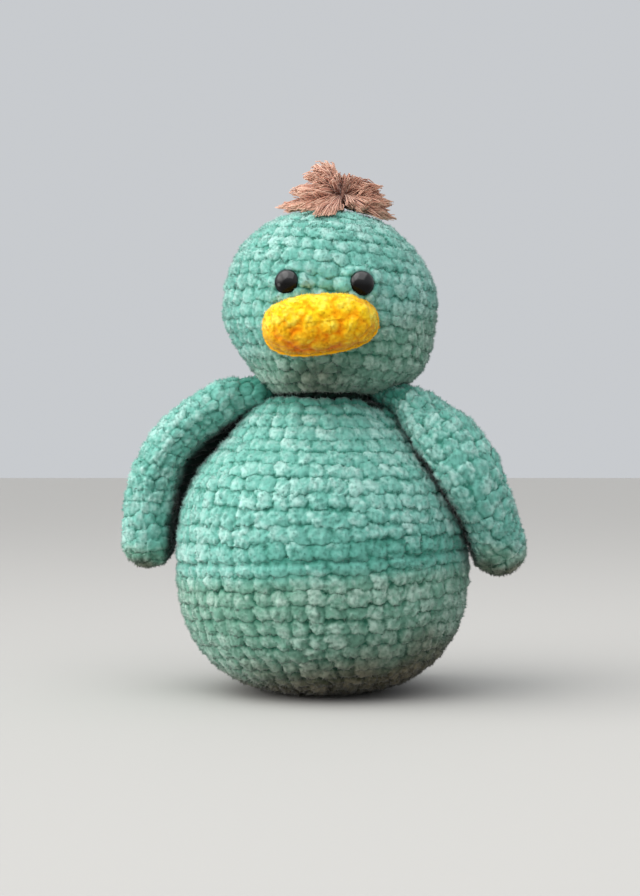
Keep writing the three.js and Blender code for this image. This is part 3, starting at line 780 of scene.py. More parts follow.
def pile(grid, high, tone, dark, number, length, width, seed):
    """Short pile: slim closed spikes of four faces that stand on a grid. The quads are drawn
    by area, a spike's foot is a small triangle sunk in the yarn, and its tip leans from the
    outward direction by a random way and with the noise of its neighbours. Returns places,
    faces, the height, tone and shadow of each place, and the way it faces the light."""
    random = np.random.default_rng(seed)
    columns = grid.shape[1]
    corner = grid[:-1]
    right = np.roll(corner, -1, axis=1)
    above = grid[1:]
    area_way = np.cross(right - corner, above - corner)
    area = np.linalg.norm(area_way, axis=-1)
    weight = (area * (0.25 + 0.75 * high[:-1])).reshape(-1)
    pick = random.choice(len(weight), number, p=weight / weight.sum())
    i, k = pick // columns, pick % columns
    s, t = random.random((2, number, 1))
    foot = corner[i, k] + s * (right[i, k] - corner[i, k]) + t * (above[i, k] - corner[i, k])
    out = unit(area_way[i, k])
    loose = unit(random.normal(size=(number, 3)))
    comb = np.stack([lumps(foot, 3.0, seed + axis) for axis in range(3)], axis=-1)
    way = unit(out + 0.55 * loose + 0.8 * comb)
    side = unit(np.cross(way, loose) + 1e-6)
    other = np.cross(way, side)
    long = length * (0.5 + random.random((number, 1)))
    thick = width * (0.7 + 0.6 * random.random((number, 1)))
    base = foot - 0.35 * out
    turns = [(math.cos(x), math.sin(x)) for x in spike_corners]
    corners = [base + thick * (c * side + d * other) for c, d in turns] + [foot + long * way]
    places = np.stack(corners, axis=1).reshape(-1, 3)
    first = 4 * np.arange(number)[:, None]
    sides = [[0, 1, 3], [1, 2, 3], [2, 0, 3], [0, 2, 1]]
    faces = np.concatenate([first + np.array(face)[None] for face in sides])
    smooth_out = unit(directions(grid)[2][i, k] + 0.35 * way)
    height = high[i, k][:, None] * [0.85, 0.85, 0.85, 0.95] + np.array([0, 0, 0, 0.05])
    own = np.repeat(tone[i, k] + random.normal(0, 0.15, number), 4)
    return (places, faces, height.reshape(-1), own, np.repeat(dark[i, k], 4),
            np.repeat(smooth_out, 4, axis=0))


def cover(name, grids, looks, finish, spikes, body, shade, zipped=False):
    """A crocheted cover as one closed shell: the raised grid outside, where `grids` has None,
    the lining inside and the pile, with four values at each vertex for the yarn's finish.
    Those named height, tone and shadow, which is painted shadow, come from `looks`, and the
    one named lower, the change of yarn and painted shade, from `shade`."""
    outside, *own_marks = looks
    shell = np.concatenate([outside if part is None else part for part in grids])
    vertices, quads, triangles = closed_grid(shell, zipped)
    extra, faces, *pile_marks, nap = pile(*looks, *spikes)
    marks = []
    for own, there in zip(own_marks, pile_marks):
        parts = [own if part is None else np.zeros(part.shape[:2]) for part in grids]
        marks.append(np.concatenate([on_grid(np.concatenate(parts), zipped), there]))
    triangles = np.concatenate([triangles, faces + len(vertices)])
    vertices = np.concatenate([vertices, extra])
    heights, tones, shadows = marks
    values = {"height": heights, "tone": tones, "lower": shade(vertices), "shadow": shadows}
    piece = made(name, vertices, quads, triangles, values, finish, nap)
    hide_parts(f"{name}_cover")
    if body:
        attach(piece, body)
    return piece


# Finishes


class Value:
    """One output of a node. Arithmetic on it adds Math nodes to the same finish."""

    def __init__(self, finish, socket):
        """An output socket of a node in a finish."""
        self.finish = finish
        self.socket = socket

    def maths(self, operation, *values):
        """The result of a Math node."""
        settings = {"operation": operation}
        return self.finish.node("ShaderNodeMath", settings, dict(enumerate(values)))

    def __add__(self, other):
        return self.maths("ADD", self, other)

    def __radd__(self, other):
        return self.maths("ADD", other, self)

    def __sub__(self, other):
        return self.maths("SUBTRACT", self, other)

    def __rsub__(self, other):
        return self.maths("SUBTRACT", other, self)

    def __mul__(self, other):
        return self.maths("MULTIPLY", self, other)

    def __rmul__(self, other):
        return self.maths("MULTIPLY", other, self)

    def between(self, low, high):
        """From 0 at low to 1 at high, in a smooth step."""
        return self.finish.node("ShaderNodeMapRange", {"interpolation_type": "SMOOTHSTEP"},
                                {"Value": self, "From Min": low, "From Max": high})


class Finish:
    """A material with a Principled shader, built by adding nodes."""

    def __init__(self, name, **constants):
        """A material of a name, with constants on the shader's own sockets."""
        self.material = bpy.data.materials.new(name)
        self.material.use_nodes = True
        self.tree = self.material.node_tree
        self.shader = self.tree.nodes["Principled BSDF"]
        for key, value in constants.items():
            self.shader.inputs[key.replace("_", " ")].default_value = value

    def node(self, kind, settings, inputs, output=0):
        """A node of a kind, its settings first, then the values or links of its sockets."""
        node = self.tree.nodes.new(kind)
        for key, value in settings.items():
            setattr(node, key, value)
        for key, value in inputs.items():
            if isinstance(value, Value):
                self.tree.links.new(value.socket, node.inputs[key])
            else:
                node.inputs[key].default_value = value
        return Value(self, node.outputs[output])

    def feed(self, **values):
        """Links values to the shader's own sockets."""
        for key, value in values.items():
            self.tree.links.new(value.socket, self.shader.inputs[key.replace("_", " ")])

    def attribute(self, name):
        """A value that the mesh keeps at each vertex."""
        return self.node("ShaderNodeAttribute", {"attribute_name": name}, {}, "Fac")

    def noise(self, scale, detail=2.0, roughness=0.5, distortion=0.0):
        """Noise of about 1 / scale metres, from 0 to 1."""
        place = self.node("ShaderNodeTexCoord", {}, {}, "Object")
        inputs = {"Vector": place, "Scale": scale, "Detail": detail,
                  "Roughness": roughness, "Distortion": distortion}
        return self.node("ShaderNodeTexNoise", {}, inputs, "Fac")

    def mix(self, share, first, second):
        """Two colours mixed by a share."""
        inputs = {0: share, 6: first, 7: second}
        return self.node("ShaderNodeMix", {"data_type": "RGBA"}, inputs, 2)

    def bump(self, height, strength, distance):
        """A fine relief in the shader alone, of a strength over a distance in metres."""
        inputs = {"Height": height, "Strength": strength, "Distance": distance}
        self.feed(Normal=self.node("ShaderNodeBump", {}, inputs, "Normal"))


def colour(red, green, blue):
    """A colour from its usual 0 to 255 numbers as light: ((c + 0.055) / 1.055)^2.4."""
    parts = [c / 255 for c in (red, green, blue)]
    light = [c / 12.92 if c <= 0.04045 else ((c + 0.055) / 1.055) ** 2.4 for c in parts]
    return (*light, 1.0)


# The colour of painted shadow in folds and crevices
painted_shadow_colour = colour(17, 36, 30)


def chenille(name, deep, middle, pale, lower=None, under=None):
    """Chenille yarn: deep and full in colour in the creases, as painted shade, and pale on its
    crowns, as painted highlight, and in soft frosted patches, with faint flecks where the pile
    parts. `lower` is the same three colours where the attribute of that name is 1, as the yarn
    below the join and as painted shade elsewhere, and `under` where it is 2, as painted shade
    on the underside. The attribute "shadow" paints shade into the yarn in its folds."""
    yarn = Finish(name, Roughness=0.95, Sheen_Weight=0.12 if "yellow" in name else 0.25,
                  Sheen_Roughness=0.5, Specular_IOR_Level=0.15)
    height = yarn.attribute("height")
    tone = yarn.attribute("tone")
    patch = yarn.noise(230, 2.0, 0.55, distortion=0.5)
    fleck = yarn.noise(850, 2.0, 0.5)
    # Painted shade: the deep colour where the yarn is low in its creases
    fill = (height * 1.15 + patch * 0.35 + fleck * 0.08 - 0.5).between(0.02, 0.66)
    # Painted highlight on the crowns, with pale patches and flecks at random
    frost_and_highlight = (patch * 0.75 + fleck * 0.12 + tone * 0.18 + height * 0.5).between(0.72, 1.25)

    def blended(colours):
        """Three colours from the painted shade of the creases to the pale, highlighted crowns."""
        low, mid, high = colours
        return yarn.mix(frost_and_highlight, yarn.mix(fill, low, mid), high)

    base = blended((deep, middle, pale))
    if lower:
        place = yarn.attribute("lower")
        base = yarn.mix(place.between(0.0, 1.0), base, blended(lower))
        base = yarn.mix(place.between(1.0, 2.0), base, blended(under))
        # Painted shadow where the attribute shadow is 1
        base = yarn.mix(yarn.attribute("shadow"), base, painted_shadow_colour)
    yarn.feed(Base_Color=base)
    yarn.bump(fleck * 0.5 + yarn.noise(1900, 2.0) * 0.4, 0.25, 0.0006)
    return yarn.material


# Each yarn's deep colour is painted shade in its creases, and its pale one is partly painted
# highlight. The teal's lower colours are the yarn below the body's join and painted shade on the
# head and wings, and its under colours are painted brownish shade; the yellow's lower and under
# colours are painted shade along the bill's lower edge.
teal = chenille("teal chenille",
                colour(64, 138, 121), colour(107, 174, 160), colour(168, 208, 199),
                lower=(colour(52, 114, 92), colour(102, 151, 131), colour(170, 199, 185)),
                under=(colour(24, 23, 14), colour(66, 64, 44), colour(120, 112, 90)))
# The same teal yarn with painted shade, for the neck's seam in the crease under the head
shaded_teal = chenille("shaded teal chenille",
                       colour(10, 30, 22), colour(24, 58, 46), colour(52, 90, 76))
yellow = chenille("yellow chenille",
                  colour(255, 178, 8), colour(255, 210, 24), colour(255, 236, 92),
                  lower=(colour(252, 146, 4), colour(255, 190, 18), colour(255, 222, 66)),
                  under=(colour(236, 96, 0), colour(250, 156, 8), colour(255, 190, 36)))


def plain_finish(name, first, second, scale, rough, **constants):
    """Two close colours mixed by noise, with a slight grain."""
    finish = Finish(name, Roughness=rough, **constants)
    grain = finish.noise(scale, 3.0)
    finish.feed(Base_Color=finish.mix(grain, first, second))
    finish.bump(grain, 0.2, 0.0004)
    return finish.material


fibre = plain_finish("white fibre", colour(226, 224, 216), colour(250, 250, 246), 300, 1.0,
                     Sheen_Weight=0.3)
white_plastic = plain_finish("white plastic", colour(228, 228, 224), colour(240, 240, 238),
                             60, 0.4)


def eye_finish():
    """Black plastic, glossy on top and duller in its lower part, with a faint drift in its
    gloss."""
    finish = Finish("black gloss plastic", Roughness=0.2, Specular_IOR_Level=0.12,
                    Coat_Roughness=0.17)
    drift = finish.noise(150, 2.0)
    finish.feed(Base_Color=finish.mix(drift, colour(6, 6, 7), colour(13, 12, 13)))
    finish.feed(Roughness=drift * 0.06 + 0.17)
    finish.feed(Coat_Weight=finish.attribute("height") * 0.9)
    return finish.material


def tuft_finish():
    """Rose brown yarn ends: darker at the root, paler at the frayed tips, each fibre its own
    tone."""
    finish = Finish("brown yarn", Roughness=0.75, Sheen_Weight=0.3, Sheen_Roughness=0.4)
    along = finish.attribute("height")
    tone = finish.attribute("tone")
    fleck = finish.noise(1500, 2.0)
    far = (along * 1.3 + fleck * 0.2).between(0.33, 1.15)
    frayed = (tone * 0.5 + along * 0.4 + fleck * 0.3).between(0.34, 1.0)
    fibre_colour = finish.mix(far, colour(84, 37, 26), colour(178, 114, 92))
    finish.feed(Base_Color=finish.mix(frayed, fibre_colour, colour(226, 184, 160)))
    return finish.material


gloss = eye_finish()
brown = tuft_finish()


# Camera, light and floor


def look_from(place):
    """A level camera that looks along +Y from a place and sees `sight_height` at the duck."""
    sensor = 36.0
    data = bpy.data.cameras.new("camera")
    data.sensor_fit = "VERTICAL"
    data.sensor_height = data.sensor_width = sensor
    data.lens = sensor * abs(place[1]) / sight_height
    data.clip_start, data.clip_end = 0.05, 20
    camera = placed("camera", data)
    camera.location = [part * 0.001 for part in place]
    camera.rotation_euler = (math.pi / 2, 0, 0)
    bpy.context.scene.camera = camera


def light(name, kind, place, target, energy, tint):
    """A light of a kind that shines from the direction of a place, in metres, to a target."""
    data = bpy.data.lights.new(name, kind)
    data.energy = energy
    data.color = tint
    thing = placed(name, data)
    back = np.array(place) - np.array(target)
    back = back / np.linalg.norm(back)
    thing.rotation_euler = (math.acos(back[2]), 0, math.atan2(back[0], -back[1]))
    return thing


def lamp(name, place, size, power, tint):
    """A soft square lamp that shines at the duck's middle."""
    thing = light(name, "AREA", place, (0, 0, 0.12), power, tint)
    thing.location = place
    thing.data.size = size
    thing.visible_camera = False
    return thing


def sun_light(name, place, spread, strength, tint):
    """A broad even light from a direction, its edge as soft as a source `spread` degrees
    across."""
    thing = light(name, "SUN", place, (0, 0, 0), strength, tint)
    thing.data.angle = math.radians(spread)


look_from(camera_place)
sun_light("key", (-0.8, -0.32, 0.85), spread=70, strength=1.74, tint=(1.0, 0.985, 0.965))
sun_light("side", (-1.0, -0.15, 0.08), spread=60, strength=1.15, tint=(1.0, 0.98, 0.95))
lamp("top", (-0.05, -0.4, 1.15), size=1.6, power=12.0, tint=(1.0, 1.0, 1.0))
low_lamp = lamp("low", (-0.65, -0.12, 0.03), size=0.3, power=2.2, tint=(1.0, 0.99, 0.97))
world = bpy.data.worlds.new("room")
world.use_nodes = True
background = world.node_tree.nodes["Background"]
background.inputs["Color"].default_value = (0.93, 0.96, 1.0, 1.0)
background.inputs["Strength"].default_value = 0.62
bpy.context.scene.world = world
bpy.context.scene.view_settings.view_transform = "Standard"

floor_finish = Finish("floor", Roughness=0.9)
floor_finish.shader.inputs["Base Color"].default_value = (0.46, 0.45, 0.43, 1)
bpy.ops.mesh.primitive_plane_add(size=12, location=(0, 0, 0))
floor = bpy.context.object
floor.name = "floor"
floor.data.materials.append(floor_finish.material)

# The low lamp doesn't light the floor beside it
spared = bpy.data.collections.new("spared by the low lamp")
spared.objects.link(floor)
low_lamp.light_linking.receiver_collection = spared
spared.collection_objects[0].light_linking.link_state = "EXCLUDE"


# Body


def join_line(places):
    """The height of the join line, which rises to the duck's left."""
    rising = places[..., 0] * math.tan(math.radians(join_line_tilt))
    return join_height + join_line_above + rising


def make_body():
    """The body's bag from the bottom to the neck, with its lining inside."""
    rows, columns = body_cloth
    coarse = filled(around(body_line(body_inset, rows), columns), body_swell, [rows - 2])
    grid = finer(coarse, *body_grid)
    x, y, z = np.moveaxis(grid, -1, 0)
    off = np.hypot(x, y)
    # The collar: the last rounds stand up round the neck, less so at the back
    collar = (collar_height + collar_more_right * eased(-x, 2, 14)
              - collar_less_left * eased(x, 14, 24))
    behind = eased(y, 0, 20) * (1 - eased(x, 2, 14))
    collar = (collar + 0.5 * lumps(grid, 7, 9)) * (1 - collar_less_behind * behind)
    z += collar * eased(z, 116, 134) * eased(off, 23.8, 26.5)
    arc = arc_of(grid)
    heights = grid[..., 2].mean(1)
    join = np.interp(join_height, heights, arc)
    rise = (arc - join) / np.where(arc < join, body_round_below, body_round)
    lean = np.interp(heights, body_tilt_heights, body_tilts)[:, None]
    tilt = -x * np.tan(np.radians(lean)) / mean_round
    raised, high, tone, _ = crocheted(grid, rise, body_stitch, 11, tilt)
    x, y, z = np.moveaxis(raised, -1, 0)
    # The groove of the join line, and a strip of painted shade above it, on the front and away
    # from the duck's right side
    over = z - join_line(raised)
    uneven = 0.7 + 0.6 * lumps(raised, 5, 7)
    dig = groove_depth * np.exp(-(over / groove_width) ** 2) * uneven
    off = np.maximum(np.hypot(x, y), 20)
    raised[..., :2] *= 1 - (dig / off)[..., None]
    join_shade = np.exp(-((over - join_shade_rise) / join_shade_width) ** 2)
    join_shade = join_shade * eased(x, -45, -18) * eased(-y, -10, 30)
    # Painted shade on the strip: deeper in colour and less pale
    high = high * (1 - 0.4 * join_shade)
    tone = tone - 0.6 * join_shade
    # Painted shade: the folds under the head are darker, most of all in the hollow by the left
    # wing's root
    hollow = np.linalg.norm(raised - collar_hollow, axis=-1)
    high = high * (1 - 0.5 * eased(z, 129, 139))
    shadow = np.maximum(0.3 * eased(z, 135, 141), 1 - eased(hollow, 4.0, 9.0))
    raised[..., 2] = np.maximum(z, 0.0)
    lining = around(body_line(fabric_thickness, body_lining)[::-1], body_grid[1])

    def lower(places):
        """0 above the join line, 1 below it where the yarn changes, and 2 at the underside, which
        is painted shade, darker towards the duck's left.
        """
        height = places[:, 2] + 1.2 * lumps(places, 6, 5)
        line = join_line(places)
        # Painted shade towards the bottom, more on the duck's left
        painted_underside_shade = 1 - eased(height + 5 * lumps(places, 16, 6) - 0.2 * places[:, 0], -2.0, 40.0)
        return 1 - eased(height, line - 15.0, line + 1.5) + painted_underside_shade

    looks = [raised, high, tone, shadow]
    cover("body", [None, lining], looks, teal, body_pile, "torso", lower)


# Head


def make_head():
    """The head's bag, from the neck's opening to the crown, with its lining."""
    edge = -math.acos(neck_opening / head_radius * 0.97)
    rows, columns = head_cloth
    form = on_head(around(head_line(head_inset, rows, edge), columns))
    grid = finer(filled(form, head_swell, [1]), *head_grid)
    x, y, z = np.moveaxis(grid, -1, 0)
    # The ball sags a little: in at the lower right and the upper left, out at the lower left
    below = -((grid - head_middle) @ head_axes.T)[..., 2]
    x += sag_low_right * eased(-x, 10, 42) * eased(below, 10, 30)
    x -= sag_high_left * eased(x, 15, 45) * eased(-below, 5, 30)
    x += sag_low_left * eased(x, 15, 45) * eased(below, 8, 26)
    # Its underside hangs over the collar, less so at the back
    hang = hang_front * (1 - eased(x, 6, 18)) + hang_right * eased(-x, -8, 22)
    behind = eased(y, 2, 26) * (1 - eased(x, 2, 14))
    z -= hang * eased(below, 33, 42) * (1 - hang_less_behind * behind)
    arc = arc_of(grid)
    rise = (arc - arc[-1]) / head_round
    # The yarn swells up round each eye
    for side in (1, -1):
        place, way = eye_foot(side)
        off = np.linalg.norm(grid - place, axis=-1)
        swell = eye_swell * eased(off, 4.2, 6.1) * (1 - eased(off, 6.8, 12.0))
        grid = grid + swell[..., None] * way
    looks = crocheted(grid, rise, head_stitch, 23)
    raised = looks[0]
    lining = on_head(around(head_line(fabric_thickness, head_lining, edge * 0.97)[::-1],
                            head_grid[1]))
    for part, room in ((raised, cover_room), (lining, lining_room)):
        relief = np.hypot(part[..., 0], part[..., 1]) * math.tan(neck_relief)
        part[..., 2] = np.maximum(part[..., 2], neck_height + relief + room)
    cover("head", [lining, None], looks, teal, head_pile, "head", chin_shade)


def chin_shade(places):
    """Painted shade: 0 on the head's upper part and about 1 under its bill and chin, more towards
    the duck's left and less at the back.
    """
    x, y, z = places.T
    height = z - 0.3 * x + 3 * lumps(places, 9, 12)
    chin = np.exp(-((x + 4) / 24) ** 2) * (1 - eased(z, 150, 172))
    behind = eased(y, -20, 20)
    return (1 - eased(height, 152, 180)) * (1.0 - 0.5 * behind) + 0.6 * chin * (1 - behind)


# Bill


def make_bill():
    """The bill's pouch from the head to its front, with its lining."""
    form = bill_form(bill_inset, *bill_cloth, bill_cover_root, bill_cover_ridge)
    grid = finer(filled(form, bill_swell, [1]), *bill_grid)
    arc = arc_of(grid)
    rise = (arc - arc[-1]) / bill_round
    looks = crocheted(grid, rise, bill_stitch, 37)
    # The first rows, by the seam, are kept high, so they get little of the painted crease shade
    looks[1] = np.maximum(looks[1], 0.75 * (1 - eased(arc, 2, 6))[:, None])
    inset = thin_thickness + 2 * seat_gap
    lining = bill_form(inset, bill_lining, bill_grid[1], bill_cover_root)[::-1]
    cover("bill", [lining, None], looks, yellow, bill_pile, "head", bill_shade, zipped=True)


def bill_shade(places):
    """Painted shade: 0 on the bill's top and towards 2 along its lower edge, at a height that
    drifts.
    """
    middle = on_face(bill_side, -bill_below)[0]
    height = (places - middle) @ up + 2.5 * lumps(places, 7, 13)
    return 1.5 * (1 - eased(height, -12, 4))


# Wings


def make_wing(side, wing, seed):
    """One wing's tube from its root to its tip, with its lining."""
    coarse = wing_form(wing, wing_inset, *wing_cloth, wing_root_share, *wing["root"])
    middle = coarse.mean(1, keepdims=True)
    off = np.hypot(coarse[..., 0], coarse[..., 1])
    gap = off - body_radius_at(coarse[..., 2])
    # Its back edge leans to the body
    inner = eased(np.hypot(middle[..., 0], middle[..., 1]) - off, -3, 5)
    back = eased(coarse[..., 1] - middle[..., 1], 0, 7)
    lean = np.clip(gap - wing_lean_room, 0, wing_lean_most) * inner * back
    lean = lean * eased(coarse[..., 2], 64, 76)
    coarse = coarse - (lean / off)[..., None] * coarse * [1, 1, 0]
    grid = finer(filled(coarse, wing_swell, [1]), *wing_grid)
    looks = crocheted(grid, arc_of(grid) / wing_round, wing_stitch, seed)
    # Painted shade on its side towards the body, and on what the head covers
    off = np.hypot(grid[..., 0], grid[..., 1])
    inwards = -grid * [1, 1, 0] / off[..., None]
    turned = (directions(grid)[2] * inwards).sum(-1)
    upper = eased(grid[..., 2], 95, 115) if side == "right" else 0.0 * off
    facing = eased(turned + 0.17 * upper, 0.0, 0.25)
    looks[3] = facing * (1 - eased(off - body_radius_at(grid[..., 2]) - 4 * upper, 3.5, 8.0))
    under_head = head_level(grid + [0, 0, 7])
    looks[1] = looks[1] * (1 - 0.55 * (1 - eased(under_head, 0.98, 1.14)))
    lining = wing_form(wing, thin_thickness, wing_lining, wing_grid[1], 0.0)
    piece = cover(f"wing_{side}", [lining[::-1], None], looks, teal, (*wing_pile, seed), None,
                  tip_shade)
    path = wing_path(wing, path_steps) * 0.001
    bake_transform(piece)


def tip_shade(places):
    """Painted shade: 0 along a wing and towards 2 at its tip."""
    return 1.8 * (1 - eased(places[:, 2] + 3 * lumps(places, 7, 8), 56, 76))


make_body()
make_head()
make_bill()
make_wing("left", wings["left"], 51)
make_wing("right", wings["right"], 67)


# Yarn loops, eyes and tuft


def yarn_loop(name, loop, radius, finish, spikes, body, seed):
    """Plied yarn round a closed loop: a round section whose radius swells by
    cos(3 angle + 9 turns) a ply, with noise, and pile on it."""
    sides = 22
    ahead = unit(np.roll(loop, -1, axis=0) - np.roll(loop, 1, axis=0))
    out = loop - loop.mean(0)
    out = unit(out - (out * ahead).sum(1, keepdims=True) * ahead)
    other = np.cross(ahead, out)
    angle = full_turn(sides)[None, :]
    turn = 2 * math.pi * 9 * np.arange(len(loop))[:, None] / len(loop)
    swell = 0.86 + 0.12 * np.cos(3 * angle + 3 * turn)
    ring = out[:, None] * np.cos(angle)[..., None] + other[:, None] * np.sin(angle)[..., None]
    grid = loop[:, None] + radius * swell[..., None] * ring
    grid = grid + (0.09 * radius * lumps(grid, 2.0, seed))[..., None] * unit(grid - loop[:, None])
    height = np.clip((swell - 0.74) / 0.24, 0, 1) * 0.6
    quads = strip_faces(*grid.shape[:2], looped=True)
    looped = np.concatenate([grid, grid[:1]])
    high = np.concatenate([height, height[:1]])
    none = 0 * high
    extra, faces, up_there, own, _, nap = pile(looped, high, none, none, spikes, 0.8, 0.14, seed)
    places = grid.reshape(-1, 3)
    piece = made(name, np.concatenate([places, extra]), quads, faces + len(places),
                 {"height": np.concatenate([height.reshape(-1), up_there]),
                  "tone": np.concatenate([0 * height.reshape(-1), own]),
                  "lower": np.zeros(len(places) + len(extra))}, finish, nap)
    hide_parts(name)
    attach(piece, body)


def basis(way):
    """Two directions square to a way and to each other."""
    first = unit(np.cross(way, [0.31, 0.92, 0.22]))
    return first, np.cross(way, first)


def stood(grid, place, way):
    """A grid made along Z stood at a place, its Z along a way."""
    first, second = basis(way)
    return place + grid[..., :1] * first + grid[..., 1:2] * second + grid[..., 2:] * way


def simple_piece(name, grid, finish, slot, body, **values):
    """A closed grid as a piece that stands for the CAD node of its name."""
    vertices, quads, triangles = closed_grid(grid)
    own = {key: on_grid(value) for key, value in values.items()}
    piece = made(name, vertices, quads, triangles, own, finish)
    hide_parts(name)
    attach(piece, body)
    return piece


def make_eye(name, side):
    """A glossy dome on a ribbed post: a quarter of an ellipse over a thin rounded rim."""
    rib = np.linspace(-eye_post_length, 0, 130)
    ribbed = eye_post - rib_depth + rib_depth * np.cos(rib * 2 * math.pi / rib_spacing)
    post = np.stack([ribbed, rib], axis=1)
    turn = np.linspace(-math.pi / 2, 0, 10)
    rim = np.stack([eye_shown + eye_round * (np.cos(turn) - 1),
                    seat_gap + eye_round * (np.sin(turn) + 1)], axis=1)
    turn = np.linspace(0, math.pi / 2, 40)
    dome = np.stack([eye_shown * np.cos(turn),
                     seat_gap + eye_rim + (eye_dome - eye_rim) * np.sin(turn)], axis=1)
    under = np.stack([np.linspace(eye_post, eye_shown - 0.4, 20), np.full(20, seat_gap)], axis=1)
    base = np.stack([np.linspace(0, eye_post - 0.1, 6), np.full(6, -eye_post_length)], axis=1)
    line = np.concatenate([base, post, under, rim, dome])
    place, way = eye_foot(side)
    grid = stood(around(line, 72), place, way)
    above = grid[..., 2] - place[2] + 0.15 * (grid[..., 0] - place[0]) + 0.25 * lumps(grid, 3, 41)
    simple_piece(name, grid, gloss, "black_gloss_plastic", "head", height=eased(above, -2.2, 2.4))


def tubes(paths, radii):
    """Closed three-sided tubes along many paths at once: a ring of places round each step,
    in a frame square to the path. Returns places, quads and the triangles of the ends."""
    count, steps = paths.shape[:2]
    ahead = unit(np.gradient(paths, axis=1))
    fixed = np.array([0.23, 0.37, 0.9])
    first = unit(np.cross(ahead, fixed))
    second = np.cross(ahead, first)
    angle = full_turn(fibre_sides)
    ring = first[:, :, None] * np.cos(angle)[:, None] + second[:, :, None] * np.sin(angle)[:, None]
    places = paths[:, :, None] + radii[:, :, None, None] * ring
    quads = strip_faces(steps, fibre_sides)
    ends = np.array([[2, 1, 0], np.arange(fibre_sides) + (steps - 1) * fibre_sides])
    first_number = (np.arange(count) * steps * fibre_sides)[:, None, None]
    return (places.reshape(-1, 3), (first_number + quads).reshape(-1, 4),
            (first_number + ends).reshape(-1, 3))


def make_tuft():
    """Frayed yarn ends. Every end splits into small locks, and each fibre runs from the far
    side of the waist through it and out to the tip of a lock, or to a place between two, on
    a curve that first rises."""
    random = np.random.default_rng(9)
    number, steps, sides = tuft_fibres, fibre_steps, fibre_sides
    tips = np.repeat(np.array(tuft_tips, float), locks_per_tip, axis=0)
    tips = tips * (0.8 + 0.22 * random.random((len(tips), 1)))
    tips = tips + random.normal(size=tips.shape) * [1.3, 1.5, 1.2]
    pick = random.integers(0, len(tips), number)
    near = np.argsort(np.linalg.norm(tips[:, None] - tips[None], axis=-1), axis=1)
    other = near[pick, random.integers(1, 4, number)]
    share = np.where(random.random(number) < 0.75, 0, random.random(number))[:, None]
    tip = tips[pick] * (1 - share) + tips[other] * share
    way = np.where(tip[:, 0] > 0, 1.0, -1.0)
    disc = random.normal(size=(number, 2))
    disc = disc / np.maximum(np.linalg.norm(disc, axis=1, keepdims=True), 1) * waist_radius
    start = np.stack([-2.6 * way, disc[:, 0], disc[:, 1]], axis=1)
    waist = np.stack([2.0 * way, disc[:, 0] * 0.9, disc[:, 1] * 0.9], axis=1)
    reach = 0.88 + 0.14 * random.random((number, 1))
    spread = random.normal(size=(number, 3)) * 0.42
    tip = tip * reach + spread
    bow = (waist + tip) / 2 + disc[:, [0, 0, 1]] * [0, 0.7, 0.7] + spread * 0.5
    high = eased(tip[:, 2], -3, 10)
    bow[:, 2] += (0.02 + 0.2 * high) * np.linalg.norm(tip, axis=1) - 1.5 * (1 - high)
    knots = np.stack([start, waist, bow, tip], axis=1)
    t = np.linspace(0, 1, steps)[None, :, None]
    lower = 2 * np.minimum(t * 1.5, 1) - np.minimum(t * 1.5, 1) ** 2
    curve = ((1 - t) ** 3 * knots[:, :1] + 3 * (1 - t) ** 2 * t * knots[:, 1:2]
             + 3 * (1 - t) * t ** 2 * (1.35 * knots[:, 2:3] - 0.35 * knots[:, 1:2])
             + t ** 3 * knots[:, 3:])
    phase = lower * 9 + random.random((number, 1, 1)) * 6.28
    wave = 0.3 * t * np.sin(phase) * unit(spread)[:, None]
    paths = curve + wave + tuft_waist
    level = head_level(paths)[..., None]
    lift = 1.022 + 0.06 * random.random((number, 1, 1)) ** 2 * np.sin(math.pi * t) ** 0.5
    paths = head_middle + (paths - head_middle) * np.maximum(1, lift / level)
    radii = (fibre_radius - 0.1 * t[..., 0] ** 2) * (0.7 + 0.6 * random.random((number, 1)))
    places, quads, triangles = tubes(paths, radii)
    away = np.linalg.norm(places - tuft_waist, axis=1)
    along = np.repeat(np.broadcast_to(t[..., 0], (number, steps)).reshape(-1), sides)
    along = 0.35 * along + 0.65 * np.minimum(away / 20, 1)
    tone = np.repeat(random.random(number), steps * sides)
    piece = made("tuft", places, quads, triangles, {"height": along, "tone": tone}, brown)
    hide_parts("tuft")
    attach(piece, "head")


